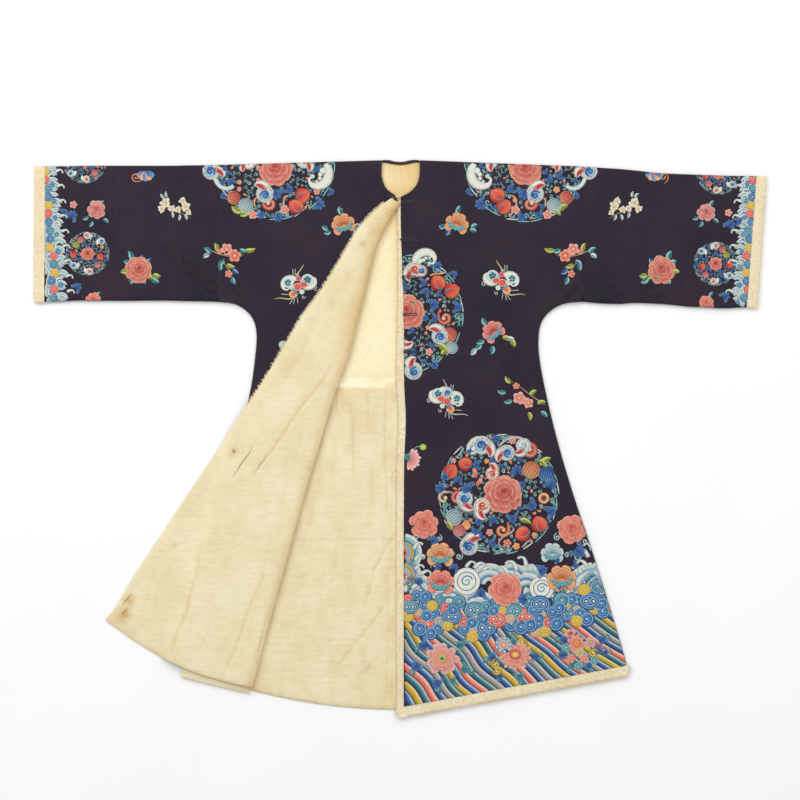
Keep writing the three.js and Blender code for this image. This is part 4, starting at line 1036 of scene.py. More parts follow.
binding, tree, shader = cloth_material("dark_binding", 0.6, 0.2)
place = new_node(tree, "ShaderNodeTexCoord", out=3)
fine = new_node(tree, "ShaderNodeTexNoise", Vector=place, Scale=500.0, Detail=3.0)
tree.links.new(blend(tree, fine, tint(26, 20, 22), tint(58, 44, 42)).socket, shader.inputs["Base Color"])
slant = new_node(tree, "ShaderNodeTexWave", {"bands_direction": "DIAGONAL"}, Vector=place, Scale=480.0,
    Distortion=0.5)
tree.links.new(new_node(tree, "ShaderNodeBump", Strength=0.5, Distance=0.0004,
    Height=slant + fine).socket, shader.inputs["Normal"])
for name, side, neck in (("left_neck_binding", 1, left_neck[:]),
        ("right_neck_binding", -1, right_neck[1:])):
    line = smooth([(a, b) for a, b, c, d in neck], 8)
    step = np.gradient(line, axis=0)
    step /= np.linalg.norm(step, axis=1, keepdims=True)
    line = line + 1.1 * np.column_stack([-step[:, 1], step[:, 0]])
    path = np.column_stack([side * line[:, 0], line[:, 1], np.full(len(line), top_z - 0.8)])
    piece = cord_piece(name.replace("binding", "bias"), [(path, 2.0)], binding, 14)
    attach(piece, "root")
    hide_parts(name)
line = smooth([(-52, 688.5, 2.6), (-40, 689.9, 3.6), (-27, 688.9, 4.0), (-12, 685.6, 4.0),
    (0, 684.8, 4.0), (12, 685.6, 4.0), (27, 689.1, 4.0), (41, 690.3, 3.6), (52, 688.5, 2.6)], 8)
ragged = noise_at(line[:, 0] / 2.2, 0.0, 5.0)
band = [(np.column_stack([line[:, 0], line[:, 1] - 0.5 * ragged, np.full(len(line), 5.6)]),
    line[:, 2] + 0.7 * ragged)]
piece = cord_piece("back_neck_bias", band, binding, 14)
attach(piece, "root")
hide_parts("back_neck_binding")


# A knotted loop of the same dark stuff lies at the neck corner of the turned front.
corner_z = top_z + 10.5
strands = []
for spots, radius in (
    (((-2, 590.5), (-12, 594.5), (-23, 598.5), (-33, 603.0)), 1.9),
    (((-4, 595.5), (-14, 600), (-25, 604), (-34, 606)), 1.8),
    (((-3, 586.5), (-9, 591), (-15, 592.5), (-22, 594.5)), 1.7),
    (((-2, 597.5), (-7, 590), (-12, 600), (-17, 593)), 1.9),
):
    line = smooth(spots, 8)
    path = np.column_stack([line, corner_z - 0.24 * np.abs(line[:, 0] + 6)
        + 0.8 * np.sin(line[:, 0] / 3)])
    strands.append((path, radius * np.sqrt(np.sin(np.linspace(0.15, np.pi - 0.15, len(line))))))
piece = cord_piece("right_neck_loop", strands, binding, 8)
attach(piece, "root")


# Dark threads are left in the turned lining where a quilting line has come undone.
def on_turned_lining(x, y):
    away = (over[:, :, 0] + x) ** 2 + (over[:, :, 1] - y) ** 2
    return over[:, :, 2].ravel()[away.argmin()]


strands = []
for ax, ay, bx, by, thick in (
    (-367, -25, -416, -96, 0.62), (-330, -41, -365, -91, 0.3), (-670, -390, -695, -420, 0.6),
    (-681, -426, -695, -443, 0.5),
    (-418, -31, -411, -38, 0.8), (-419, -37, -412, -32, 0.6), (-342, -480, -360, -568, 0.3),
):
    share = np.linspace(0, 1, 26)
    line = np.column_stack([ax + (bx - ax) * share + 0.8 * np.sin(share * 9),
        ay + (by - ay) * share + 0.6 * np.sin(share * 13)])
    path = np.column_stack([line, [on_turned_lining(x, y) + 0.15 for x, y in line]])
    strands.append((path, thick * (0.35 + 0.65 * np.sin(np.pi * share))))
piece = cord_piece("loose_threads", strands, binding, 6)
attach(piece, "root")


# Five frogs are sewn flat on the left front: each is a loop of dark two-ply cord, with a
# knotted cord button at the front edge.
cord_silk, tree, shader = cloth_material("frog_cord", 0.5, 0.3)
place = new_node(tree, "ShaderNodeTexCoord", out=3)
fine = new_node(tree, "ShaderNodeTexNoise", Vector=place, Scale=900.0, Detail=2.0)
tree.links.new(blend(tree, fine, tint(30, 22, 30), tint(74, 58, 66)).socket, shader.inputs["Base Color"])
tree.links.new(new_node(tree, "ShaderNodeBump", Strength=0.4, Distance=0.0002, Height=fine).socket,
    shader.inputs["Normal"])
frog_top, frog_spacing, frog_length, bow_radius, cord_gap = 588, 93.5, 33, 3.75, 2.55
table = np.array(left_rows + left_upper[1:] + left_neck[1:])
for k in range(5):
    y = frog_top - frog_spacing * k
    edge_x = table[np.argmax(table[:, 1] >= y), 0] + 1
    xs = np.arange(4.0, 53.0, 4.0)
    base_z = top_z + 0.4 + front_lift(left, 1, xs, np.full(len(xs), y), sharp=False).max()
    turn = np.linspace(-math.pi / 2, math.pi / 2, 13)
    run = np.linspace(0, frog_length - 2 * bow_radius, 16)
    round_x, round_y = cord_gap * np.cos(turn), cord_gap * np.sin(turn)
    loop = np.vstack([
        np.column_stack([bow_radius + run, np.full(16, -cord_gap)]),
        np.column_stack([frog_length - bow_radius + round_x, round_y])[1:-1],
        np.column_stack([bow_radius + run[::-1], np.full(16, cord_gap)]),
        np.column_stack([bow_radius - round_x, -round_y])[1:-1],
    ])
    loop = np.vstack([loop, loop[:1]]) + [edge_x, y]
    smooth_loop = smooth(loop, 3)
    tangent = np.gradient(smooth_loop, axis=0)
    tangent /= np.linalg.norm(tangent, axis=1, keepdims=True)
    travel = np.concatenate([[0], np.linalg.norm(np.diff(smooth_loop, axis=0), axis=1).cumsum()])
    strands = []
    for phase in (0, math.pi):
        angle = travel / travel[-1] * 2 * math.pi * 13 + phase
        aside = 0.62 * np.cos(angle)
        sideways = np.column_stack([-tangent[:, 1], tangent[:, 0]]) * aside[:, None]
        path = np.column_stack([smooth_loop + sideways, base_z + 1.15 + 0.5 * np.sin(angle)])
        strands.append((path, 0.68))
    around = np.linspace(0, 2 * math.pi, 100)
    tilt = 1.05 * np.sin(5 * around)
    knot = np.column_stack([np.cos(3 * around) * np.cos(tilt), np.sin(3 * around) * np.cos(tilt),
        np.sin(tilt)])
    swing = 2.55 + 0.28 * np.cos(15 * around)
    knot = knot * swing[:, None] + [edge_x, y, base_z + 3.45]
    strands.append((knot, 0.72))
    heart = np.array([(edge_x, y, base_z + 1.2 + 4.4 * t) for t in np.linspace(0, 1, 9)])
    strands.append((heart, 2.2 * np.sin(np.linspace(0.12, math.pi - 0.12, 9))))
    piece = cord_piece("frog_knot_%d" % (k + 1), strands, cord_silk, 6)
    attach(piece, "root")
    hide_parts("frog_%d" % (k + 1))


# The satin is embroidered in floss silk. Each petal, leaf or scroll is a low pad of satin
# stitches, shaded from row to row, and is sewn down on the upper face of the silk alone.
ground_points, ground_faces = [], []
for piece in [left_silk, right_silk] + sleeve_pieces:
    mesh = piece.data
    spots = np.empty(len(mesh.vertices) * 3)
    mesh.vertices.foreach_get("co", spots)
    spots = spots.reshape(-1, 3) * 1000 - shift
    for polygon in mesh.polygons:
        if polygon.normal.z > 0.05 and spots[polygon.vertices[0], 2] > 1.9:
            ground_faces.append([index + len(ground_points) for index in polygon.vertices])
    ground_points += spots.tolist()
ground = BVHTree.FromPolygons(ground_points, ground_faces)
down = Vector((0, 0, -1))
grid_step = 2.5  # the layout is drawn on squares of 2.5 mm, from the top left corner
rng = np.random.default_rng(7)
sewn = []


def at(column, row):
    return complex((column - 400) * grid_step, (437.5 - row) * grid_step)


def silk_below(spot):
    """Where a plumb line dropped on the place meets the silk, or None beside it."""
    return ground.ray_cast(Vector((spot.real, spot.imag, 60)), down)[0]


def tones(*colours):
    return np.array(colours, float)


def mix(first, second, share):
    return np.asarray(first, float) * (1 - share) + np.asarray(second, float) * share


cream, white, pale = (228, 210, 164), (236, 234, 222), (206, 220, 206)
sea, slate = (196, 214, 200), (70, 84, 84)
coral = tones((158, 34, 40), (218, 88, 72), (248, 196, 168))
rose = tones((160, 44, 58), (226, 116, 108), (248, 208, 196))
orange = tones((176, 74, 50), (232, 142, 84), (246, 196, 138))
teal = tones((16, 74, 90), (64, 148, 160), (158, 212, 204))
blue = tones((16, 44, 104), (36, 98, 176), (136, 186, 216))
green = tones((88, 116, 40), (170, 180, 58), (206, 212, 120))
frost = tones((90, 130, 150), (176, 204, 204), (236, 236, 226))
gold = tones((140, 96, 24), (206, 164, 40), (236, 210, 110))
grey = tones((84, 80, 88), (144, 140, 142), (196, 190, 184))
pale_curl = tones((30, 96, 110), (98, 170, 170), (190, 226, 212))


def patch(points, colours, rise=0.22, level=0, along=False):
    """A pad of stitches on a grid of places, with a colour for each."""
    points = np.asarray(points, complex)
    colours = np.broadcast_to(np.asarray(colours, float), points.shape + (3,))
    across, ahead = points[:, -1] - points[:, 0], np.gradient(points, axis=0).mean(axis=1)
    if np.sum((np.conj(across) * ahead).imag) < 0:
        points, colours = points[:, ::-1], colours[:, ::-1]
    height = np.zeros(points.shape)
    height[:, 1:-1] = rise
    height[0, 1:-1] *= 0.3
    height[-1, 1:-1] *= 0.3
    sewn.append((points, colours, height + level * 0.24, along))


def strand(path, width, start, end=None, edge=None, edge_end=None, level=0, rise=0.22, count=3):
    """A ribbon of stitches along a path, shaded from its start to its end and to its edges."""
    path = np.asarray(path, complex)
    width = np.broadcast_to(np.asarray(width, float), path.shape)
    step = np.gradient(path)
    step = step / np.maximum(np.abs(step), 1e-9)
    share = np.linspace(-1, 1, count)
    points = path[:, None] - 1j * step[:, None] * np.maximum(width, 0.12)[:, None] * share[None, :]
    t = np.linspace(0, 1, len(path))[:, None, None]
    middle = mix(start, start if end is None else end, t)
    side = middle if edge is None else mix(edge, edge if edge_end is None else edge_end, t)
    weight = (np.abs(share) ** 2)[None, :, None]
    patch(points, middle * (1 - weight) + side * weight, rise, level)


def bend(a, b, c, d, count=9):
    t = np.linspace(0, 1, count)
    return a * (1 - t) ** 3 + 3 * b * t * (1 - t) ** 2 + 3 * c * t * t * (1 - t) + d * t**3


def spiral(centre, start, end, from_degrees, to_degrees, count=14):
    t = np.linspace(0, 1, count)
    turn = np.radians(from_degrees + (to_degrees - from_degrees) * t)
    return centre + (start + (end - start) * t) * np.exp(1j * turn)


def cis(degrees):
    return np.exp(1j * np.radians(degrees))


def petal(base, tip, width, inner, rim, level, outline=None, lobes=3, point=0.0, rows=6, columns=7):
    """A petal's pad, deep at its root and pale near the tip, with an edge in its own colour."""
    ahead = tip - base
    length = abs(ahead)
    ahead = ahead / max(length, 1e-9)
    t = np.concatenate([np.linspace(0, 0.88, rows - 1), [1.0]])[:, None]
    s = np.concatenate([[-1.0], np.linspace(-0.84, 0.84, columns - 2), [1.0]])[None, :]
    reach = 1 - 0.2 * s**2 - 0.05 * np.cos(lobes * np.pi * s) + point * (1 - np.abs(s)) ** 2
    half = 0.3 + 0.7 * np.sin(np.pi / 2 * np.minimum(t / 0.62, 1))
    half = half - (0.28 + 0.5 * point) * np.clip((t - 0.62) / 0.38, 0, 1) ** 2
    shade = mix(np.asarray(inner, float), np.asarray(rim, float), (t**1.9)[:, :, None])
    shade = shade + 0 * s[:, :, None]
    shade = mix(shade, np.asarray(rim, float), 0.45 * (np.abs(s) ** 4)[:, :, None] + 0 * t[:, :, None])
    if outline is not None:
        shade[-1] = shade[:, 0] = shade[:, -1] = outline
    patch(base + ahead * (length * t * reach) - 1j * ahead * (width * half * s), shade, 0.13, level, True)


def leaf(base, tip, width, shades, level=1, curve=0.18):
    """A pointed leaf, light on one side of its vein and deep on the other."""
    ahead = tip - base
    path = bend(base, base + ahead * (0.33 + curve * 1j), base + ahead * (0.7 + curve * 1j), tip, 8)
    t = np.linspace(0, 1, 8)
    half = width * np.sin(np.pi * t**0.8) ** 0.8
    step = np.gradient(path)
    step = step / np.abs(step)
    s = np.array([-1, -0.5, -0.06, 0.06, 0.5, 1])
    points = path[:, None] - 1j * step[:, None] * np.maximum(half, 0.15)[:, None] * s[None, :]
    side = [mix(shades[2], shades[1], 0.2), shades[2], shades[1], shades[0],
        mix(shades[0], shades[1], 0.6), shades[1]]
    patch(points, np.array(side)[None, :, :] + 0 * t[:, None, None], 0.22, level)


def rings(centre, radii, colours, level=1, squash=1.0, turn=0.0, count=16):
    """Rounds of stitches, one colour for each radius, from the outside in."""
    angle = np.linspace(0, 2 * np.pi, count, endpoint=False)
    circle = (np.cos(angle) + 1j * squash * np.sin(angle)) * cis(turn)
    sewn.append(("rings", centre + np.array(radii)[:, None] * circle[None, :], np.array(colours, float),
        level * 0.24, centre))


def fruit(centre, radius, shades, level=1):
    tone = [shades[0], shades[1], mix(shades[1], shades[2], 0.6), shades[2]]
    rings(centre, radius * np.array([1, 0.85, 0.5, 0.2]), tone, level, 0.94)


def peony(centre, radius, turn=0.0, shades=coral, level=1, count=(8, 7, 5, 3)):
    """A full flower: broad pale-rimmed petals, every second one on top, round a deep heart."""
    deep, mid, light = shades
    heart = centre + cis(turn + 80) * radius * 0.16
    table = ((0.34, 1.0, 0.36, 0.0), (0.2, 0.76, 0.3, 0.1), (0.06, 0.5, 0.25, 0.35),
        (0.0, 0.27, 0.16, 0.75))
    for k, (inner, outer, width, shade) in enumerate(table):
        middle = centre + (heart - centre) * k / 3
        for i in range(count[k]):
            direction = cis(turn + 360 / count[k] * (i + 0.5 * (k % 2)) + rng.uniform(-7, 7))
            long = radius * outer * rng.uniform(0.9, 1.04)
            petal(middle + direction * radius * inner, middle + direction * long,
                radius * width * rng.uniform(0.94, 1.1),
                mix(mid, deep, 0.5 + 0.4 * shade), mix(light, mid, 0.3 + 0.35 * shade),
                level + 1.3 * k + 0.62 * (i % 2), outline=mix(light, cream, 0.35))


def side_peony(centre, radius, turn=0.0, shades=orange, cup=teal, level=1):
    """A full flower seen from the side, its petals round a cup of blue-green scallops."""
    deep, mid, light = shades
    rings(centre - cis(turn) * 1j * radius * 0.12, [radius * 0.62, radius * 0.5, radius * 0.2],
        [cup[0], mix(mid, deep, 0.3), mid], level - 0.3, 0.5, turn)
    for k, (count, spread, inner, outer, width) in enumerate(((6, 120, 0.34, 1.0, 0.36),
            (5, 76, 0.2, 0.8, 0.28), (3, 36, 0.1, 0.58, 0.24))):
        for i in range(count):
            direction = cis(turn + 90 - spread + 2 * spread * i / (count - 1) + rng.uniform(-5, 5))
            petal(centre + direction * radius * inner, centre + direction * radius * outer,
                radius * width,
                mix(mid, deep, 0.3 + 0.2 * k), mix(light, mid, 0.2 * k),
                level + 1.3 * k + 0.62 * (i % 2), outline=deep)
    for row, count in ((0, 6), (1, 5)):
        for i in range(count):
            share = (i - (count - 1) / 2) / 2.5
            drop = radius * (0.06 + 0.16 * row + 0.2 * (1 - share**2))
            spot = centre + cis(turn) * (radius * 0.6 * share - 1j * drop)
            petal(spot - cis(turn) * 1j * radius * 0.1, spot + cis(turn) * 1j * radius * 0.16,
                radius * 0.13, cup[1], cup[2], level + 3.6 - 0.3 * row, outline=cup[0], lobes=1, rows=5,
                columns=6)


def star_flower(centre, radius, turn=0.0, shades=rose, count=14, heart=gold, level=1, narrow=0.15):
    """A chrysanthemum or lotus: pointed petals in two rounds about a worked heart."""
    deep, mid, light = shades
    for k, outer in enumerate((1.0, 0.68)):
        for i in range(count):
            direction = cis(turn + 360 / count * (i + 0.5 * k) + rng.uniform(-4, 4))
            tip = centre + direction * radius * outer * rng.uniform(0.88, 1.05)
            petal(centre + direction * radius * 0.2, tip, radius * narrow,
                  mix(mid, deep, 0.35), light, level + 1.3 * k + 0.62 * (i % 2),
                  outline=mix(light, cream, 0.3), lobes=1, point=0.12, rows=5, columns=6)
    rings(centre, [radius * 0.34, radius * 0.28, radius * 0.2, radius * 0.1],
        [deep, heart[2], mid, heart[1]], level + 2.8)


def plum(centre, radius, turn=0.0, shades=coral, level=1):
    for i in range(5):
        direction = cis(turn + 72 * i)
        petal(centre + direction * radius * 0.12, centre + direction * radius, radius * 0.44, shades[1],
            shades[2], level + 0.2 * i, outline=shades[0], lobes=2)
    rings(centre, [radius * 0.26, radius * 0.18, radius * 0.08], [shades[0], gold[2], cream], level + 2)


def orchid(centre, radius, turn=0.0, level=1):
    for i, long in enumerate((1.0, 0.8, 0.95, 0.7, 0.9, 0.75)):
        direction = cis(turn + 60 * i + rng.uniform(-12, 12))
        petal(centre + direction * radius * 0.1, centre + direction * radius * long, radius * 0.34,
            cream, white, level + 0.3 * i, outline=frost[0], lobes=2)
    rings(centre, [radius * 0.2, radius * 0.1], [gold[1], cream], level + 2)


def curl(centre, radius, turn=0.0, hand=1, shades=teal, level=0.5, turns=430, width=0.17, count=15):
    path = spiral(centre, radius, radius * 0.22, turn, turn + hand * turns, count)
    tail = centre + radius * cis(turn - hand * 24) * 1.35
    path = np.concatenate([[tail + (path[0] - tail) * u for u in (0, 0.35, 0.7)], path])
    t = np.linspace(0, 1, len(path))
    strand(path, radius * width * (0.35 + 0.65 * np.sin(np.pi * np.clip(t * 0.92 + 0.08, 0, 1))),
        shades[1], shades[2], shades[0], shades[1], level, 0.18)
    rings(path[-1], [radius * width * 1.15, radius * width * 0.5], [shades[1], shades[2]], level + 0.6,
        count=8)


def vine(a, b, radius, shades=teal, level=0.5):
    """A stem with a curl at each side."""
    ahead = (b - a) / abs(b - a)
    strand(bend(a, a + (b - a) * (0.3 + 0.25j), a + (b - a) * (0.7 - 0.25j), b, 9), radius * 0.16,
        shades[1], shades[2], shades[0], None, level, 0.18)
    for share, hand in ((0.3, 1), (0.65, -1), (1.0, 1)):
        spot = a + (b - a) * share + 1j * ahead * hand * radius * 0.8
        curl(spot, radius * 0.62, np.degrees(np.angle(-1j * ahead * hand)), hand, shades, level, 380,
            0.2, 11)


def rock(centre, radius, turn=90.0, shades=blue, level=1):
    """A rock or a leaf mass in deep blue, each lobe edged with a pale row."""
    for i, (swing, long) in enumerate(((-80, 0.85), (76, 0.9), (-40, 1.05), (36, 1.0), (0, 1.15))):
        direction = cis(turn + swing)
        petal(centre - direction * radius * 0.25, centre + direction * radius * long, radius * 0.38,
            mix(shades[0], shades[1], 0.3), mix(shades[1], shades[2], 0.2), level + 0.6 * i,
            outline=shades[2], lobes=2, rows=5, columns=6)
    for hand in (-1, 1):
        curl(centre + cis(turn + hand * 118) * radius * 0.8, radius * 0.36, turn, hand,
            (shades[0], mix(shades[1], shades[2], 0.5), shades[2]), level, 360, 0.28, 10)


def peach(centre, radius, turn=0.0, level=1, blades=True):
    ahead = cis(turn)
    points, colours = [], []
    for t in np.linspace(0, 1, 8):
        half = radius * np.sin(np.pi * t ** 0.85) ** 0.62
        spine = centre + ahead * radius * (2 * t - 1)
        points.append([spine - 1j * ahead * max(half, 0.3) * s for s in (-1, -0.55, 0, 0.55, 1)])
        colours.append([mix(mix((198, 22, 26), (236, 104, 66), t), (244, 206, 140),
            max(0.0, 0.75 * s) * (1 - 0.5 * t)) for s in (-1, -0.5, 0, 0.5, 1)])
    patch([[centre + (p - centre) * 1.1 for p in row] for row in points], (130, 24, 38), 0.1, level)
    patch(points, colours, 0.3, level + 0.6)
    if blades:
        seam = bend(centre - ahead * radius * 0.95, centre - ahead * radius * (0.5 - 0.5j),
            centre + ahead * radius * (0.1 + 0.5j), centre + ahead * radius * 0.5, 9)
        strand(seam, radius * np.linspace(0.16, 0.04, 9), teal[1], teal[2], teal[0], level=level + 1.7)


def melon(centre, radius, turn=0.0, shades=orange, level=1):
    fruit(centre, radius * 1.08, (shades[0], shades[0], shades[1]), level)
    axis = cis(turn)
    for i in range(-3, 4):
        lean = i / 3.3
        t = np.linspace(-1, 1, 8)
        bulge = radius * lean * np.sqrt(np.clip(1 - 0.97 * t**2, 0, 1))
        path = centre + axis * (radius * 0.96 * t) - 1j * axis * bulge
        strand(path, radius * 0.12 * np.sqrt(np.clip(1.05 - t**2, 0, 1)) * (1.1 - 0.4 * abs(lean)),
            shades[2], shades[1], shades[1], shades[0], level + 1)


def wing(base, reach, turn, hand=1, ground=(white, pale), heart=blue, level=1, dots=True):
    """A butterfly's wing: a plump comma in white, with red scales and a shaded scroll in its head."""
    reach = reach * 1.25
    place = lambda x, y: base + reach * cis(turn) * complex(x, hand * y)
    head = place(0.62, 0.1)
    path = bend(base, place(0.12, -0.2), place(0.34, -0.22), place(0.62, -0.02), 9)
    half = reach * np.array([0.05, 0.12, 0.18, 0.23, 0.27, 0.3, 0.32, 0.33, 0.33])
    edge = mix(ground[1], (40, 50, 70), 0.5)
    strand(path, half * 1.12, edge, level=level, rise=0.08, count=5)
    rings(head, [reach * 0.45, reach * 0.42], [edge, edge], level, 1, 0, 18)
    strand(path, half, ground[0], ground[0], ground[1], ground[0], level + 0.4, 0.12, 5)
    rings(head, [reach * 0.42, reach * 0.37, reach * 0.345, reach * 0.31, reach * 0.2],
        [ground[0], ground[0], mix(ground[0], (60, 80, 100), 0.5), ground[1], ground[1]], level + 0.7, 1,
        0, 18)
    eye = head + reach * 0.05 * cis(turn + hand * 60)
    if dots:
        for k in range(7):
            spot = path[k + 1]
            step = (path[k + 2] - path[k]) / abs(path[k + 2] - path[k])
            petal(spot + hand * 1j * step * half[k + 1] * 0.5,
                spot - hand * 1j * step * half[k + 1] * 0.35, reach * 0.05, (176, 20, 36), (230, 80, 70),
                level + 1.5, outline=coral[0], lobes=1, rows=4, columns=5)
        for k in range(5):
            spot = head + cis(turn - hand * (70 - 42 * k)) * reach * 0.315
            petal(spot, spot + cis(turn + 40 * k) * reach * 0.07, reach * 0.035, (186, 24, 40),
                (226, 80, 76), level + 1.5, lobes=1, rows=4, columns=4)
    rings(eye, [reach * 0.28, reach * 0.25, reach * 0.1],
        [heart[1], mix(heart[2], white, 0.2), heart[2]], level + 1.3, 0.94, turn, 14)
    curl(eye, reach * 0.2, turn + 200, hand, (heart[0], heart[1], heart[1]), level + 2, 470, 0.3, 15)


def hooked_wing(base, reach, turn, hand=1, level=1):
    """A pale wing that narrows and hooks over like a wave's crest, scalloped inside the hook."""
    place = lambda x, y: base + reach * cis(turn) * complex(x, hand * y)
    path = np.array([complex(x, y) for x, y in smooth([(0, 0), (0.3, -0.16), (0.66, -0.14), (0.92, 0.1),
        (0.94, 0.42), (0.74, 0.58), (0.58, 0.46)], 3)])
    path = base + reach * cis(turn) * (path.real + 1j * hand * path.imag)
    t = np.linspace(0, 1, len(path))
    half = reach * (0.08 + 0.16 * np.sin(np.pi * np.clip(t * 1.25 + 0.05, 0, 1)) ** 0.7) * (1 - 0.35 * t)
    strand(path, half * 1.16, slate, level=level, rise=0.08, count=5)
    strand(path, half, white, white, sea, white, level + 0.4, 0.2, 5)
    for x, y, size in ((0.3, 0.08, 0.15), (0.46, 0.16, 0.11), (0.62, 0.16, 0.09), (0.76, 0.26, 0.07)):
        rings(place(x, y), [reach * size, reach * size * 0.8, reach * size * 0.4], [slate, sea, white],
            level + 0.7, count=9)
    rings(path[-1], [reach * 0.1, reach * 0.07, reach * 0.03], [slate, white, sea], level + 0.9, count=9)
    for k in range(3, len(path) - 5, 2):
        step = (path[k + 1] - path[k - 1]) / abs(path[k + 1] - path[k - 1])
        rings(path[k] - hand * 1j * step * half[k] * 0.55, [reach * 0.018, reach * 0.01],
            [(90, 96, 96), (120, 124, 120)], level + 1.3, count=5)


def butterfly(centre, size, turn=0.0, hand=1, heart=teal, tail=(cream, cream)):
    """A flying butterfly: two hooked wings, red eyed lobes, an orange body and long streamers."""
    place = lambda x, y: centre + size / 17 * cis(turn) * complex(hand * x, -y)
    ahead = turn if hand > 0 else turn + 180
    for spots, half in ((((1.6, -8), (0, -13), (-3.6, -16), (-5.5, -20)), 1.0),
            (((5, 13), (10, 18), (17, 11.5), (24, 15)), 1.05)):
        strand(bend(*[place(*spot) for spot in spots], 10),
            size / 17 * half * np.linspace(1.15, 0.35, 10), tail[0], tail[1], (150, 126, 84), None, 1)
    for x, y, end_x, end_y in ((3, -8, 3.4, -15.5), (5, -8, 5.8, -15), (1, 13, 0.6, 19),
            (3.4, 14, 5, 20), (9, 10.5, 17, 10), (4.4, 14, 9, 20)):
        strand(bend(place(x, y), place(x * 0.7 + end_x * 0.3 + 0.4, y * 0.7 + end_y * 0.3),
            place(x * 0.3 + end_x * 0.7 - 0.4, y * 0.3 + end_y * 0.7), place(end_x, end_y), 6),
            size * 0.02, pale, frost[2], level=1, rise=0.12)
    for x, y, radius, swing in ((-17.7, 3.6, 2.6, 100), (-5.1, 12.7, 2.0, 160), (0.5, -9.5, 1.8, 20),
            (-7, 4.8, 1.5, 120)):
        curl(place(x, y), size / 17 * radius, ahead + swing, hand, (frost[0], frost[2], white), 1, 330,
            0.2, 10)
    hooked_wing(place(-3.0, 0.2), size * 0.84, ahead + 180 + (4 if hand > 0 else -4), -hand, level=1.4)
    hooked_wing(place(1.5, -4.5), size * 0.9, ahead - 8 * hand, -hand, level=1.6)
    for x, y, radius in ((10.4, -1.6, 5.8), (-9.2, -4.6, 6.4)):
        spot, radius = place(x, y), radius * size / 17
        rings(spot, [radius, radius * 0.9, radius * 0.76, radius * 0.5],
            [slate, white, (196, 224, 218), (110, 178, 190)], 2.2, 0.95, 0, 14)
        for k in range(5):
            direction = cis(72 * k + 20)
            petal(spot + direction * radius * 0.1, spot + direction * radius * 0.62, radius * 0.2,
                (14, 52, 72), (44, 116, 140), 2.9, outline=(96, 164, 174), lobes=1, rows=4, columns=5)
    rings(place(7, 2.4), [size * 0.2, size * 0.17, size * 0.1], [slate, white, pale], 1.8, count=10)
    rings(place(-3.6, 7.6), [size * 0.17, size * 0.14, size * 0.08], [slate, white, pale], 1.8, count=10)
    rings(place(5, 10), [size * 0.27, size * 0.24, size * 0.14, size * 0.07],
        [orange[0], orange[2], (240, 158, 112), coral[1]], 2.4, 0.9, turn, 12)
    strand([place(-0.4, 9.2), place(1.6, 8.6), place(4.2, 6.6), place(6, 4.6)], size * 0.075, heart[1],
        heart[2], heart[0], None, 3.2, 0.2, 5)
    for x, y, across_size, squash in ((-5.4, 0.4, 0.25, 0.68), (0.7, 2.6, 0.23, 1.0)):
        rings(place(x, y), [size * across_size * 1.1, size * across_size, size * across_size * 0.72,
            size * across_size * 0.3], [(150, 60, 50), (240, 214, 180), (214, 40, 52), (232, 96, 84)],
            3, squash, turn, 12)
    rings(place(-0.2, -5.6), [size * 0.17, size * 0.14, size * 0.07],
        [rose[2], (226, 110, 130), (206, 60, 92)], 3, count=9)
    rings(place(-3, -3), [size * 0.1, size * 0.06], [grey[1], grey[2]], 3.1, count=7)


def wave(centre, radii, start, end, colours, level=1, count=15):
    """Nested arcs of stitches, a colour to each, with thin pale lines between."""
    angle = np.radians(np.linspace(start, end, count))[:, None]
    spread, shade = [], []
    for outer, inner, colour in zip(radii[:-1], radii[1:], colours):
        spread += [outer, outer - 0.12 * (outer - inner), inner + 0.12 * (outer - inner), inner]
        shade += [mix(colour, white, 0.75), colour, mix(colour, (20, 40, 80), 0.18),
            mix(colour, white, 0.35)]
    patch(centre + np.array(spread)[None, :] * np.exp(1j * angle),
        np.array(shade)[None, :, :] + 0 * angle[:, :, None], 0.22, level)


def cloud(centre, radius, shades, level):
    """A cloud head: a ruyi of rounds with two bright eyes."""
    dark, mid, light = shades
    rings(centre, [radius, radius * 0.92, radius * 0.84, radius * 0.72, radius * 0.64, radius * 0.5],
        [dark, light, mid, mid, light, mid], level, 0.74, 0, 18)
    for hand in (-1, 1):
        spot = centre + hand * radius * 0.36
        rings(spot, [radius * 0.4, radius * 0.32, radius * 0.24, radius * 0.15, radius * 0.1],
            [dark, light, mid, dark, white], level + 0.8, 0.95, 0, 12)


def scroll_head(centre, radius, shades, level, turn):
    """A round cloud head: a pale spiral that runs in to a white eye."""
    dark, mid, light = shades
    rings(centre, [radius, radius * 0.88, radius * 0.76], [dark, light, mid], level, 0.94, turn, 14)
    strand(spiral(centre, radius * 0.66, radius * 0.14, turn, turn + 540, 20), radius * 0.075, light,
        light, mid, level=level + 0.7, rise=0.12)
    rings(centre, [radius * 0.16, radius * 0.08], [light, white], level + 1.1, count=7)


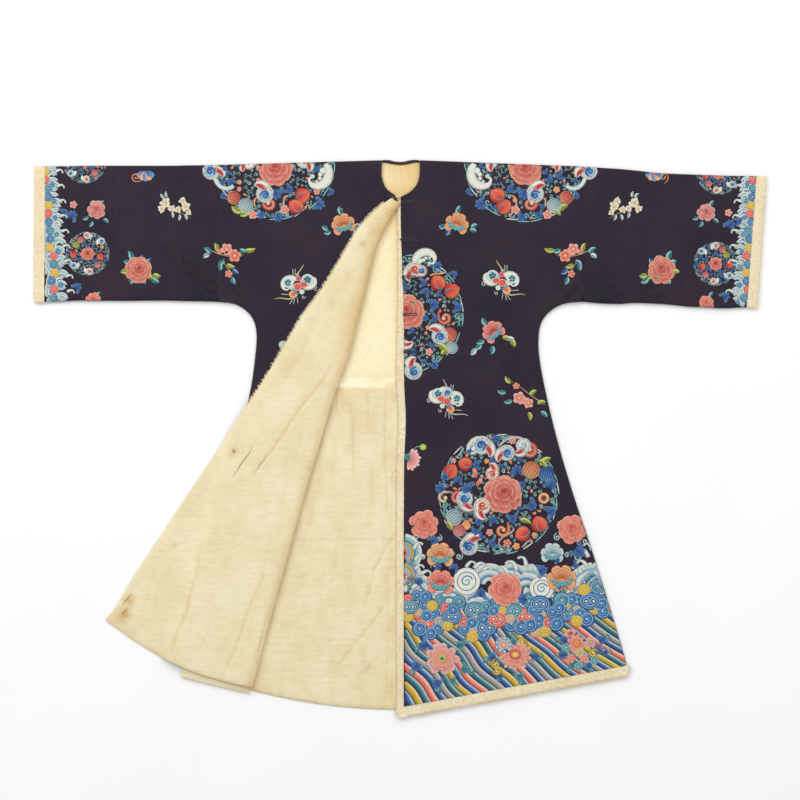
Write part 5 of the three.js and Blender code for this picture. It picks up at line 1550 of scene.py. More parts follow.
def finish_sewing(name):
    """Lays the pads on the silk and makes them one piece."""
    global sewn
    points, colours, charts, faces, count = [], [], [], [], 0
    for item in sewn:
        if isinstance(item[0], str):
            _, spots, tone, lift, middle = item
            rows, columns = spots.shape
            spots = np.append(spots.ravel(), middle)
            tone = np.vstack([np.repeat(tone, columns, axis=0), tone[-1:]])
            height = np.append(np.repeat(np.minimum(np.arange(rows), 1) * 0.2, columns), 0.22) + lift
            index = np.arange(rows * columns).reshape(rows, columns)
            ahead = np.roll(index, -1, axis=1)
            cells = [np.column_stack([q.ravel() for q in (index[:-1], ahead[:-1], ahead[1:],
                index[1:])]).tolist()]
            cells += [[[a, b, rows * columns] for a, b in zip(index[-1], ahead[-1])],
                [index[0][::-1].tolist()]]
            chart = np.column_stack([np.abs(spots - middle), np.angle(spots - middle + 1e-9) * 2]) / 1000
        else:
            grid, tone, height, along = item
            rows, columns = grid.shape
            spots, tone, height = grid.ravel(), tone.reshape(-1, 3), height.ravel()
            index = np.arange(rows * columns).reshape(rows, columns)
            cells = [np.column_stack([q.ravel() for q in (index[:-1, :-1], index[:-1, 1:], index[1:, 1:],
                index[1:, :-1])]).tolist()]
            cells += [np.column_stack([index[:-1, -1], index[:-1, 0], index[1:, 0],
                index[1:, -1]]).tolist()]
            cells += [[index[0][::-1].tolist(), index[-1].tolist()]]
            run = np.concatenate([[0], np.abs(np.diff(grid.mean(axis=1))).cumsum()])
            run = run[:, None] + 0 * grid.real
            side = np.abs(grid - grid[:, :1])
            chart = np.column_stack([(side if along else run).ravel(),
                (run if along else side).ravel()]) / 1000
        placed, missed = [], 0
        for spot, rise in zip(spots, height):
            hit = silk_below(spot)
            if hit is None:
                missed += 1
                hit = ground.find_nearest(Vector((spot.real, spot.imag, 11)))[0]
                rise = min(rise, 0.1)
            placed.append((hit.x, hit.y, hit.z + rise + 0.05))
        if missed > 0.6 * len(spots):
            continue
        points += placed
        colours.append(tone)
        charts.append(chart)
        for group in cells:
            faces += [[index + count for index in cell] for cell in group]
        count += len(spots)
    sewn = []
    mesh = bpy.data.meshes.new(name)
    mesh.from_pydata(((np.array(points) + shift) / 1000).tolist(), [], faces)
    shade = np.vstack(colours) / 255
    shade = np.where(shade < 0.0405, shade / 12.92, ((shade + 0.055) / 1.055) ** 2.4)
    attribute = mesh.color_attributes.new("floss", "FLOAT_COLOR", "POINT")
    attribute.data.foreach_set("color", np.column_stack([shade, np.ones(len(shade))]).ravel())
    corner = np.empty(len(mesh.loops), dtype=np.int32)
    mesh.loops.foreach_get("vertex_index", corner)
    mesh.uv_layers.new(name="stitch").data.foreach_set("uv", np.vstack(charts)[corner].ravel())
    mesh.polygons.foreach_set("use_smooth", [True] * len(mesh.polygons))
    mesh.materials.append(floss)
    piece = new_piece(name, mesh)
    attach(piece, "root")


floss, tree, shader = cloth_material("floss_silk", 0.42, 0.1)
chart = new_node(tree, "ShaderNodeUVMap", {"uv_map": "stitch"})
place = new_node(tree, "ShaderNodeTexCoord", out=3)
dyed = new_node(tree, "ShaderNodeAttribute", {"attribute_name": "floss"})
stitch = new_node(tree, "ShaderNodeTexWave", {"bands_direction": "X", "wave_profile": "SIN"},
    Vector=chart, Scale=340.0, Distortion=1.2)
uneven = new_node(tree, "ShaderNodeTexNoise", Vector=place, Scale=240.0, Detail=3.0)
shadow = new_node(tree, "ShaderNodeMapRange", i0=stitch * 0.6 + uneven * 0.8, i1=0.2, i2=1.1, i3=0.24,
    i4=0.0)
tree.links.new(blend(tree, shadow, dyed, tint(40, 30, 40)).socket, shader.inputs["Base Color"])
tree.links.new((0.34 + uneven * 0.2).socket, shader.inputs["Roughness"])
tree.links.new(new_node(tree, "ShaderNodeBump", Strength=0.5, Distance=0.0003,
    Height=stitch + uneven * 0.5).socket, shader.inputs["Normal"])


# Small sprays and butterflies are strewn over the fronts and sleeves, between the roundels.
# Each is one flower or a few, with leaves around it, and both sides carry the same ones.
def sprig(root, lean, long, width, shades, hand=1, level=0.6, curve=0.18):
    """A leaf that leans away from its root, the other way round on the right side."""
    ahead = complex(math.cos(math.radians(lean)) * hand, math.sin(math.radians(lean)))
    leaf(root, root + ahead * long, width, shades, level, curve)


def peony_spray(column, row, hand):
    c = at(column, row)
    for dx, dy, long, lean, shades in ((13, -17, 10, 70, teal), (15, -8, 8, 30, teal),
            (-9, -11, 9, 140, blue), (-3, -13, 8, 100, blue),
            (-26, 8, 8, 190, green), (-17, 7, 7, 220, green),
            (6, 13, 9, -60, teal), (-24, 14, 9, 210, teal),
            (-8, 12, 8, -110, teal), (20, 5, 7, 0, green)):
        root = c + complex(dx * hand * 0.55, -dy * 0.55) * grid_step
        sprig(root, lean, long * grid_step, 7.5, shades, hand, 0.6, 0.2 * hand)
    peony(c, 36, 20 * hand, coral, 1.2)


def plum_spray(column, row, hand):
    c = at(column, row)
    for spots in (((-14, 2), (-6, 6), (6, 4), (18, -2)), ((6, 6), (6, 14), (0, 16), (-2, 24))):
        stem = [c + complex(x * hand, -y) * grid_step for x, y in spots]
        strand(bend(*stem, 10), 1.4, (150, 130, 80), cream, (90, 80, 50), level=0.4)
    for dx, dy, long, lean, shades in ((-15, -3, 11, 172, green), (-10, -4, 8, 200, teal),
            (13, -1, 9, 75, green), (19, 1, 9, 40, teal), (20, 2, 7, -30, frost), (5, 8, 9, -50, teal),
            (3, 11, 9, 200, green), (-3, 16, 8, 215, blue),
            (-3, 24, 8, -110, teal), (8, 12, 6, -80, teal)):
        root = c + complex(dx * hand, -dy) * grid_step
        sprig(root, lean, long * grid_step, 6.5, shades, hand, 0.6, 0.2 * hand)
    for x, y, radius, turn, shades, level in (
            (-5, -3, 17, 15, coral, 1.2), (3, 3.5, 16, 50, rose, 1.6), (10, 1, 8, 0, coral, 1.2),
            (1, -21, 10, 0, coral, 1.2)):
        plum(c + complex(x * hand, y) * grid_step, radius, turn, shades, level)


def orchid_spray(column, row, hand):
    c = at(column, row)
    for dx, dy, radius in ((-11, 2, 15), (-3, 5, 11), (9, -2, 16), (3, 4, 11), (-14, 8, 9), (13, 4, 12),
            (-8, -4, 11)):
        orchid(c + complex(dx * hand, -dy) * grid_step, radius, dx * 20, 1)
    for dx, dy, lean in ((-12, 12, 250), (-6, 12, 280), (4, 9, 260), (9, -9, 80), (12, -8, 50)):
        root = c + complex(dx * hand * 0.8, -dy * 0.8) * grid_step
        sprig(root, lean, 16, 4, frost, hand, 0.5)
    stem = [c + complex(x * hand, y) * grid_step for x, y in ((-16, -14), (-9, -8), (2, -6), (14, 1))]
    strand(bend(*stem), 1.1, (120, 104, 74), cream, level=0.3)


def orange_peony(column, row, hand):
    c = at(column, row)
    for dx, dy, lean in ((2, -11, 75), (3, -9, 110), (-11, 3, 170), (-12, 1, 215), (13, 7, -15),
            (15, 5, 30), (-8, 6, 240)):
        root = c + complex(dx * hand, -dy) * grid_step
        sprig(root, lean, 17, 6.5, teal if dy % 2 else blue, hand)
    side_peony(c - 3j, 31, -18 * hand, orange, teal, 1)


for hand, side in ((1, "left"), (-1, "right")):
    peony_spray(400 + 261 * hand, 270, hand)
    plum_spray(400 + 170 * hand, 253, hand)
    orchid_spray(400 + 225 * hand, 205, hand)
    orange_peony(456.6 if hand > 0 else 343.6, 223.6 if hand > 0 else 224.4, hand)
    butterfly(at(400 + 101.5 * hand, 280.5 if hand > 0 else 284.5), 42, 0, hand, teal)
    fan = at(400 + 254 * hand, 172)
    for k in range(5):
        shades = orange if k % 2 else blue
        petal(fan, fan + cis(-150 + 30 * k) * 26, 8, shades[1], shades[2], 0.5 + 0.2 * k, outline=blue[0])
    curl(fan + complex(24 * hand, -14), 12, -60, hand, orange, 1)
    finish_sewing("%s_sprays" % side)

for place, size in (((283, 345), 11), ((286, 350), 8)):
    rings(at(*place), [size, size * 0.85, size * 0.5], [frost[0], (176, 206, 186), (206, 222, 200)], 0.8,
        1, 0, 12)
finish_sewing("right_front_bud")

butterfly(at(446.5, 399), 41, -6, 1, blue, ((204, 204, 206), (226, 226, 224)))
wing(at(439, 394), 26, 20, -1, (white, pale), blue, 2.2, dots=False)
side_peony(at(493.5, 332.5), 30, 40, (coral[0], (228, 110, 98), (248, 186, 168)), teal, 1)
for column, row, lean, shades in ((487, 325, 120, teal), (481, 344, 215, teal), (475, 348, 235, frost),
        (492, 346, -100, teal), (502, 338, -15, green), (510, 340, -60, green), (506, 340, 0, frost),
        (484, 340, 200, teal)):
    sprig(at(column, row), lean, 21, 7, shades)
for column, row, radius, turn, shades, level in ((519, 398, 17, 0, rose, 1),
        (528, 403, 14, 30, rose, 1.3), (516, 386, 9, 20, coral, 1.2)):
    plum(at(column, row), radius, turn, shades, level)
strand(bend(at(509, 380), at(520, 386), at(530, 396), at(545, 405)), 1.3, (110, 90, 60), cream, level=0.3)
for column, row, lean, shades in ((511, 383, 130, green), (530, 396, 40, green), (537, 404, 10, green),
        (512, 400, 190, teal), (540, 412, -40, teal), (528, 412, -80, green), (506, 392, 170, teal)):
    sprig(at(column, row), lean, 22, 6, shades)
lotus_heart = at(409, 459)
for k in range(9):
    petal(lotus_heart, lotus_heart + cis(-92 + 20 * k) * (29 + 3 * (k % 2)), 4.9, rose[1],
        (250, 222, 208), 1 + 0.2 * k, outline=(250, 222, 208), lobes=1, point=0.0)
rock(at(409, 457), 11, 180, teal, 3)
fruit(at(423, 447), 9, green, 1)
strand(bend(at(412, 455), at(413, 448), at(417, 445), at(421, 447)), 1.2, teal[1], teal[2], level=0.4)
finish_sewing("left_front_sprays")


# Four great roundels and four small ones are set on the chest, shoulders, skirt and sleeves.
# Each holds butterflies and a peony among fruits, rocks and tendrils, inside a broken ring.
class Roundel:
    def __init__(self, column, row, radius, half, seed):
        self.centre, self.radius, self.half = at(column, row), radius * grid_step, half
        self.taken, self.random = [], np.random.default_rng(seed)

    def hold(self, column, row, radius):
        spot = at(column, row)
        self.taken.append((spot, radius * grid_step))
        return spot

    def wing(self, base, reach, turn, hand, ground, heart, level, dots=True):
        head = base + 1.25 * reach * cis(turn) * complex(0.62, hand * 0.1)
        self.taken += [(head, reach * 0.56), (base + (head - base) * 0.4, reach * 0.28)]
        wing(base, reach, turn, hand, ground, heart, level, dots)

    def shows(self, spot, reach=0.0):
        if self.half == "right":
            return spot.real > 12 - reach
        if self.half == "lower":
            return spot.imag < 686 + reach
        return True

    def free(self, spot, radius):
        inside = abs(spot - self.centre) < self.radius * 0.98 - radius * 0.9
        apart = all(abs(spot - s) > (r + radius) * 0.9 for s, r in self.taken)
        return inside and self.shows(spot, radius) and apart

    def fill(self, size, count):
        """Rocks, then curls, wherever the dark ground still shows."""
        for radius, tries in ((size * 1.4, count), (size, count * 3), (size * 0.7, count * 7),
                (size * 0.5, count * 12)):
            for _ in range(tries):
                reach, angle = self.radius * math.sqrt(self.random.uniform()), self.random.uniform(0, 360)
                spot = self.centre + reach * cis(angle)
                if not self.free(spot, radius):
                    continue
                self.taken.append((spot, radius))
                turn, kind = self.random.uniform(0, 360), self.random.uniform()
                if radius > size * 0.9 and kind < 0.42:
                    rock(spot, radius * 1.05, turn, blue, 0.6)
                elif radius > size * 0.9 and kind < 0.52:
                    plum(spot, radius * 0.8, turn, rose if kind < 0.47 else orange, 0.7)
                elif radius > size * 0.9:
                    end = spot + cis(turn) * radius
                    vine(spot - cis(turn) * radius, end, radius * 0.6, pale_curl, 0.4)
                elif kind < 0.16:
                    petal(spot - cis(turn) * radius * 0.8, spot + cis(turn) * radius * 0.9, radius * 0.6,
                        coral[1], coral[2], 0.6, outline=coral[2])
                elif kind < 0.36 and radius > size * 0.6:
                    shades = blue if kind < 0.28 else orange
                    leaf(spot - cis(turn) * radius, spot + cis(turn) * radius, radius * 0.5, shades, 0.5)
                else:
                    hand, shades = 1 if kind > 0.62 else -1, pale_curl if kind < 0.8 else frost
                    curl(spot, radius * 0.95, turn, hand, shades, 0.4, 330, 0.3, 11)

    def rim(self, pieces):
        """The broken ring: arcs of pale blue-green with small curls turning in from them."""
        for k in range(pieces):
            start = 360 / pieces * k + self.random.uniform(-3, 3)
            sweep = 360 / pieces * 0.86
            spot = self.centre + self.radius * cis(start + sweep / 2)
            if not self.shows(spot):
                continue
            arc = spiral(self.centre, self.radius * 0.985,
                self.radius * self.random.uniform(0.94, 0.985), start, start + sweep, 8)
            shades = teal if k % 3 else frost
            strand(arc, self.radius * 0.0095 * np.array([0.5, 1, 1.2, 1.3, 1.3, 1.2, 1, 0.5]), shades[2],
                shades[2], shades[1], level=0.6, rise=0.18)
            curl(self.centre + (self.radius * 0.9) * cis(start + sweep * (0.3 + 0.4 * (k % 2))),
                self.radius * 0.055, start + 90, 1 if k % 2 else -1, pale_curl, 0.5, 300, 0.26, 8)
            if k % 2:
                strand(spiral(self.centre, self.radius * 0.95, self.radius * 0.9, start,
                    start + sweep * 0.8, 7), self.radius * 0.01, shades[1], shades[2], level=0.5,
                    rise=0.15)


skirt = Roundel(498.5, 494, 61, None, 3)
peony(skirt.hold(503, 494, 21), 52, 0, coral, 1.5, (9, 7, 5, 3))
skirt.wing(at(489, 457), 44, 112, 1, (white, pale), blue, 1.2)
skirt.wing(at(499, 462), 38, 60, -1, (white, pale), blue, 1.6)
skirt.wing(at(514, 452), 36, 25, 1, (frost[2], pale), frost, 1.2)
skirt.wing(at(489, 464), 32, -62, -1, (coral[2], white), coral, 2.2)
curl(skirt.hold(529, 451, 8), 20, 120, -1, coral, 1.2, 400, 0.34)
curl(at(473, 450), 15, 60, 1, frost, 1.4, 380, 0.4)
strand(bend(at(499, 447), at(506, 434), at(522, 434), at(532, 446), 12), 3.2, grey[2], pale, grey[1],
    level=1, count=5)
strand(bend(at(486, 440), at(476, 434), at(467, 442), at(468, 453), 12), 5.4, white, pale, frost[1],
    level=1.2, count=5)
for column, row, radius, turn in ((465, 464, 8, 160), (451, 471, 8.5, 60), (539, 524, 9.5, 110),
        (522.5, 534, 9, 200)):
    peach(skirt.hold(column, row, radius), radius * 2.2, turn, 1)
melon(skirt.hold(531, 470, 9.5), 22, 60, (orange[0], (232, 150, 100), (240, 190, 140)), 1)
melon(skirt.hold(546, 474, 8.5), 20, 80, (blue[0], blue[1], blue[2]), 1)
melon(skirt.hold(454, 517, 9), 21, 30, (frost[0], frost[1], (214, 226, 190)), 1)
melon(skirt.hold(459, 530, 7.5), 16, 70, (rose[0], rose[1], rose[2]), 1)
for root, tip, width, level in (((540, 466), (551, 458), 9, 1.5), ((538, 460), (546, 468), 7, 1.8),
        ((446, 522), (451, 530), 8, 1.5), ((519, 520), (531, 524), 7, 1.5)):
    leaf(at(*root), at(*tip), width, green, level)
for kept_clear in ((545, 462, 5), (449, 525, 4), (525, 522, 5)):
    skirt.hold(*kept_clear)
rings(skirt.hold(543.5, 498, 6), [14, 11, 8, 6, 3],
    [orange[0], orange[2], orange[1], (120, 90, 60), (70, 60, 50)], 1)
for k in range(10):
    petal(at(543.5, 498) + cis(36 * k) * 7, at(543.5, 498) + cis(36 * k) * 14.5, 4.2, orange[1],
        orange[2], 0.9 + 0.1 * (k % 2), outline=orange[0], lobes=1, rows=4, columns=5)
skirt.wing(at(474, 507), 40, 150, -1, (white, pale), blue, 1.3)
skirt.wing(at(481, 539), 44, 200, 1, (white, pale), blue, 1.3)
skirt.wing(at(486, 518), 40, 118, -1, (white, frost[2]), coral, 1.8)
curl(skirt.hold(457.5, 498, 7), 17, 20, 1, coral, 1.4, 400, 0.36)
curl(skirt.hold(444, 498, 7), 16, 70, 1, (orange[0], cream, (240, 220, 180)), 1.2, 300, 0.3)
curl(skirt.hold(502, 530, 8), 18, 30, -1, orange, 1.2, 380, 0.3)
petal(at(466, 520), at(466, 530), 12, orange[1], orange[2], 1.2, outline=orange[0])
skirt.hold(467, 525, 5)
for column, row, radius, turn in ((469, 489, 9, 170), (517, 472, 8, 100), (550, 486, 8, 60),
        (530, 504, 8, -40), (442, 489, 8, 150), (549, 512, 8, 20), (512, 517, 7, -80),
        (466, 542, 6, 240), (446, 478, 6, 120), (521, 485, 5, 30)):
    rock(skirt.hold(column, row, radius), radius * 2.1, turn, blue, 0.7)
plum(skirt.hold(507, 543, 5), 11, 0, coral, 1)
strand(bend(at(498, 545), at(500, 533), at(512, 536), at(514, 528), 10), 2.6, grey[2], rose[2], grey[0],
    level=1)
petal(at(476, 478), at(474, 468), 6, coral[1], coral[2], 1, outline=coral[0])
petal(at(476, 486), at(482, 478), 6, coral[1], coral[2], 1, outline=coral[0])
skirt.fill(8.5, 220)
skirt.rim(26)
finish_sewing("skirt_roundel")

for name, hand, column, row, seed in (("left_shoulder_roundel", 1, 525, 161, 5),
        ("right_shoulder_roundel", -1, 275, 159, 8)):
    shoulder = Roundel(column, row, 62, "lower", seed)

    def put(c, r, hold=0.0):
        spot_column = c if hand > 0 else 800 - c
        if hold:
            shoulder.hold(spot_column, r, hold)
        return at(spot_column, r)

    def facing_turn(turn):
        return turn if hand > 0 else 180 - turn

    peony(put(525, 169, 18), 46, 10, coral, 1.4, (9, 7, 5, 3))
    hooked_wing(put(474, 164, 6), 62, facing_turn(-82), hand, level=1.2)
    put(476, 180, 9)
    shoulder.wing(put(492, 172), 36, facing_turn(80), -hand, (white, pale), coral, 1.6)
    shoulder.wing(put(577, 178), 42, facing_turn(40), -hand, (white, pale), blue, 1.3)
    shoulder.wing(put(545, 186), 42, facing_turn(-150), hand, (white, pale), blue, 1.6)
    shoulder.wing(put(556, 172), 34, facing_turn(110), hand, (coral[2], white), coral, 1.8)
    strand(bend(put(470, 168), put(466, 186), put(478, 192), put(486, 184), 12), 5.5, white, pale,
        frost[1], level=1.3, count=5)
    strand(bend(put(585, 168), put(588, 186), put(574, 194), put(566, 186), 12), 5.5, white, pale,
        frost[1], level=1.3, count=5)
    peach(put(497, 196, 8), 20, facing_turn(150), 1)
    peach(put(504, 207, 8), 20, facing_turn(40), 1)
    plum(put(515, 210, 5), 12, 0, rose, 1)
    plum(put(547, 215, 5), 12, 20, rose, 1)
    curl(put(530, 204, 8), 18, facing_turn(60), -hand, coral, 1.3, 400, 0.34)
    melon(put(554, 206, 8), 19, 40, (frost[0], frost[1], frost[2]), 1)
    melon(put(566, 198, 7), 17, 20, (rose[0], coral[1], orange[2]), 1)
    leaf(put(557, 212), put(568, 206), 9, green, 1.4)
    leaf(put(551, 210), put(560, 216), 8, green, 1.2)
    put(562, 210, 5)
    for c, r, radius, turn in ((524, 192, 9, -90), (522, 216, 7, 250), (482, 204, 8, 200),
            (538, 214, 6, -70), (575, 196, 5, -20), (512, 189, 6, 200), (470, 192, 5, 180)):
        rock(put(c, r, radius), radius * 2.1, facing_turn(turn), blue, 0.7)
    strand(bend(put(512, 196), put(520, 200), put(512, 204), put(520, 212), 10), 2.8, orange[2], cream,
        orange[0], level=1)
    strand(bend(put(538, 200), put(544, 196), put(548, 200), put(544, 208), 10), 2.4, orange[2], cream,
        orange[0], level=1)
    shoulder.fill(8.0, 170)
    shoulder.rim(26)
    finish_sewing(name)

chest = Roundel(403, 314, 61, "right", 11)
peony(chest.hold(407, 312, 19), 47, 30, coral, 1.4, (9, 7, 5, 3))
hooked_wing(chest.hold(414, 264, 10), 52, 40, -1, level=1.3)
chest.hold(426, 262, 9)
chest.hold(432, 270, 7)
chest.wing(at(410, 281), 38, 80, -1, (white, pale), coral, 1.6)
chest.wing(at(413, 268), 28, -30, 1, (coral[2], white), blue, 1.8)
chest.wing(at(429, 330), 40, -20, -1, (white, pale), blue, 1.4)
chest.wing(at(416, 358), 42, -110, 1, (white, pale), blue, 1.4)
chest.wing(at(412, 341), 32, 200, -1, (white, frost[2]), coral, 1.7)
peach(chest.hold(438, 283, 8), 20, 120, 1)
peach(chest.hold(452, 291, 8), 20, 20, 1)
curl(chest.hold(445, 318, 7), 17, 160, 1, coral, 1.3, 400, 0.34)
melon(chest.hold(449, 335, 8), 19, 60, (orange[0], coral[1], orange[2]), 1)
melon(chest.hold(452, 348, 6), 15, 20, (frost[0], frost[1], frost[2]), 1)
leaf(at(438, 345), at(447, 353), 9, green, 1.4)
leaf(at(441, 355), at(450, 350), 7, green, 1.4)
chest.hold(443, 350, 5)
for column, row, radius, turn in ((432, 305, 8, 20), (456, 307, 7, 0), (425, 293, 6, 60),
        (434, 364, 6, -60), (410, 330, 5, 0), (437, 267, 6, 60), (453, 275, 5, 40), (424, 318, 5, -20)):
    rock(chest.hold(column, row, radius), radius * 2.1, turn, blue, 0.7)
plum(chest.hold(429, 352, 4), 10, 0, rose, 1)
strand(bend(at(430, 276), at(436, 272), at(440, 276), at(446, 272), 10), 2.6, orange[2], cream,
    orange[0], level=1)
chest.fill(8.0, 160)
chest.rim(24)
finish_sewing("chest_roundel")

for name, side, centres in (("left_small_roundels", 1, ((715, 264, None), (718, 173, "lower"))),
        ("right_small_roundels", -1, ((88, 254, None), (85, 162, "lower")))):
    for column, row, half in centres:
        small = Roundel(column, row, 22, half, column)
        peony(small.hold(column, row, 7.5), 18, 0, coral, 1.2, (8, 6, 5, 0))
        for dx, dy, turn, hand, heart in ((-10, -9, 130, 1, blue), (-3, -14, 60, -1, coral),
                (9, 9, -40, 1, blue), (2, 14, 230, -1, coral)):
            small.wing(at(column + dx * side, row + dy), 17, turn if side > 0 else 180 - turn,
                hand * side, (white, pale), heart, 1.1, dots=False)
        for dx, dy, kind in ((11, -9, 0), (14, 1, 1), (-13, 3, 1), (-10, 11, 2), (7, -14, 2), (0, -9, 3),
                (-7, 6, 3)):
            spot = small.hold(column + dx * side, row + dy, 3.8)
            if kind == 0:
                melon(spot, 9, 40, (green[0], green[1], orange[2]), 1)
            elif kind == 1:
                peach(spot, 9, 60 * side, 1, blades=False)
            elif kind == 2:
                melon(spot, 8.5, 100, (rose[0], rose[1], rose[2]), 1)
            else:
                rock(spot, 7.5, 90 * side, blue, 0.8)
        small.fill(4.6, 120)
        small.rim(16)
    finish_sewing(name)


# Slanting water stripes fill the skirt's foot: flat ribbons of floss side by side, each
# shaded from dark to light, bending like water in twelve colours that come round again.
def stripe_slope(column, row):
    """How many squares a stripe moves across for each row that it goes down."""
    base = np.interp(column, (330, 400, 440, 480, 520, 560, 600, 630),
        (1.0, 1.0, 0.95, 0.98, 1.12, 1.25, 1.5, 1.62))
    swing = np.interp(column, (400, 480, 540, 600), (0.45, 0.42, 0.26, 0.2))
    return base + swing * math.cos(2 * math.pi * (row - 660 + 0.75 * (column - 430)) / 65)


ochre = tones((104, 74, 16), (204, 164, 22), (232, 204, 88))
salmon = tones((178, 62, 58), (242, 110, 88), (252, 190, 168))
deep_teal = tones((8, 40, 56), (24, 96, 116), (118, 172, 176))
navy = tones((10, 24, 70), (18, 74, 146), (128, 182, 220))
stone = tones((70, 66, 72), (150, 146, 142), (194, 190, 184))
stripe_cycle = (navy, ochre, deep_teal, salmon, navy, stone, deep_teal, ochre, navy, salmon, deep_teal,
    stone)
lines = []
for k in range(-2, 44):
    column, row = 408.0 + 8.1 * k, 708.2 - 0.196 * (8.0 + 8.1 * k)
    column, row = column + 6 * stripe_slope(column, row + 3), row + 6
    while not silk_below(at(column, row)) and row > 600:
        column -= 0.1 * stripe_slope(column, row)
        row -= 0.1
    line = [at(column + 0.9 * stripe_slope(column, row), row + 0.9)]
    for step in (0.4, 0.6, 0.9, 1.4) + (2.6,) * 42:
        if row > 596:
            line.append(at(column, row))
            column -= step * stripe_slope(column, row)
            row -= step
    lines.append(line)
for k, (first, second) in enumerate(zip(lines[:-1], lines[1:])):
    dark, mid, light = stripe_cycle[(k - 2) % 12]
    count = min(len(first), len(second))
    one, two = np.array(first[:count]), np.array(second[:count])
    share = np.array([0.01, 0.17, 0.4, 0.66, 0.88, 0.99])
    grid, shown = [], []
    for first_spot, second_spot in zip(one, two):
        tries = np.linspace(share[0], share[-1], 20)
        across = first_spot * (1 - tries) + second_spot * tries
        met = tries[[silk_below(spot) is not None for spot in across]]
        low, high = (met[0], met[-1]) if len(met) > 1 else (share[0], share[-1])
        place = low + (high - low) * (share - share[0]) / (share[-1] - share[0])
        grid.append(first_spot + (second_spot - first_spot) * place)
        shown.append(len(met) > 1)
    shown[0] = shown[1]
    grid = np.array(grid)
    deepest = mix(dark, (10, 10, 30), 0.4)
    tone = np.array([deepest, mix(dark, mid, 0.6), mid, mix(mid, light, 0.6), mix(light, white, 0.6),
        mix(light, white, 0.8)])
    run = []
    for index in range(count + 1):
        if index < count and shown[index]:
            run.append(index)
            continue
        if len(run) > 1:
            patch(grid[run], tone[None, :, :], 0.1, 0.8)
        run = []


# Above them roll white-crested waves, nested arcs that break into clawed foam, and over the
# meeting of both lies a bank of cloud heads in blue, coral, yellow and grey.
def wave_fan(column, row, radius, start, end, colours, level):
    """Nested arcs about a point, each band pale at its outer edge and deeper inside."""
    steps = np.linspace(radius, radius * 0.16, len(colours) + 1) * grid_step
    wave(at(column, row), steps, start, end, colours, level, 17)


def crest(column, row, size, turn, hand, level=3):
    """A white claw of foam that hooks over, with small curls along its back."""
    root = at(column, row)
    ahead = cis(turn)
    size = size * grid_step
    path = bend(root, root + ahead * size, root + ahead * size * (1.5 + 0.2j * hand),
        root + ahead * size * (1.35 + 0.85j * hand), 9)
    strand(path, size * np.array([0.34, 0.33, 0.31, 0.28, 0.25, 0.21, 0.17, 0.12, 0.06]), white, white,
        frost[1], teal[1], level, 0.26, 5)
    for k in range(3):
        spot = path[5 + k] + 1j * hand * ahead * size * 0.05
        spot = spot + cis(turn + hand * (60 + 25 * k)) * size * 0.28
        shades = (frost[0], white, white)
        curl(spot, size * 0.17, turn + hand * 60, hand, shades, level + 0.6, 300, 0.55, 8)


surf, foam_blue, foam_white = (150, 196, 206), (104, 158, 196), (232, 232, 220)
for column, row, radius, start, end, colours in (
    (402, 553, 20, -60, 80, (foam_white, surf, teal[1], gold[1], navy[2], salmon[1])),
    (400, 577, 22, -60, 70, (foam_white, foam_blue, gold[1], surf, salmon[1])),
    (416, 592, 19, 0, 180, (foam_white, surf, foam_white, teal[1], foam_white)),
    (489, 584, 21, 0, 180, (foam_white, surf, foam_white, foam_blue, foam_white)),
    (512, 580, 17, 20, 190, (foam_white, foam_blue, foam_white, surf)),
    (526, 592, 27, 10, 170, (foam_white, surf, foam_white, foam_blue, foam_white, teal[1])),
    (546, 598, 24, 10, 170, (foam_white, surf, foam_white, teal[1], foam_white)),
    (594, 592, 30, 60, 180, (foam_white, surf, foam_white, foam_blue, foam_white, teal[1])),
    (600, 590, 22, 40, 180, (surf, teal[1], foam_white, surf, salmon[1])),
    (585, 603, 22, 20, 180, (foam_white, surf, foam_white, teal[1], foam_white)),
    (431, 606, 17, 0, 180, (foam_white, surf, teal[1], foam_white)),
    (478, 610, 20, 0, 180, (foam_white, foam_blue, foam_white, surf, foam_white)),
    (503, 612, 19, 0, 180, (foam_white, surf, foam_white, teal[1])),
    (526, 612, 18, 0, 180, (foam_white, surf, foam_white, foam_blue)),
    (449, 607, 20, -10, 190, (foam_white, foam_blue, foam_white, teal[1], foam_white, teal[2])),
    (566, 595, 20, -10, 190, (foam_white, surf, foam_white, deep_teal[1], salmon[1], gold[1])),
):
    wave_fan(column, row, radius, start, end, colours, 1.0)
for column, row, radius in ((466.5, 581, 14), (541.5, 588, 12.5)):
    spot, size = at(column, row), radius * grid_step
    rings(spot, [size, size * 0.92, size * 0.72, size * 0.66, size * 0.6, size * 0.5],
        [frost[0], white, frost[2], teal[0], white, frost[2]], 2.2, 1, 0, 24)
    strand(spiral(spot, size * 0.44, size * 0.05, 20, 560, 24), size * 0.05, teal[1], frost[1],
        level=3.2, rise=0.12)
for column, row, size, turn, hand in (
    (414, 549, 6, 70, -1), (415, 560, 6, 60, -1), (415, 569, 5.5, 50, -1), (421, 574, 6, 40, -1),
    (466, 567, 6, 60, -1), (474, 568, 7, 50, -1), (483, 570, 5, 40, -1),
    (508, 573, 7, 120, 1), (517, 570, 8, 110, 1), (526, 566, 7, 95, 1), (514, 574, 5, 140, 1),
    (588, 557, 7, 110, 1), (587, 566, 6.5, 125, 1), (581, 573, 6, 110, 1), (592, 550, 6, 110, 1),
    (412, 588, 7, 45, -1), (536, 571, 6, 110, 1)):
    crest(column, row, size, turn, hand)
cloud_shades = {"b": (navy[0], (34, 104, 168), (156, 204, 220)),
    "t": ((20, 78, 108), (48, 126, 156), (170, 212, 214)),
    "r": (salmon[0], (226, 82, 72), (246, 192, 172)),
    "y": (ochre[0], (222, 178, 34), (246, 226, 130)),
    "g": (stone[0], (160, 160, 152), (214, 214, 204)),
    "c": ((150, 110, 70), (214, 164, 134), (240, 214, 180))}
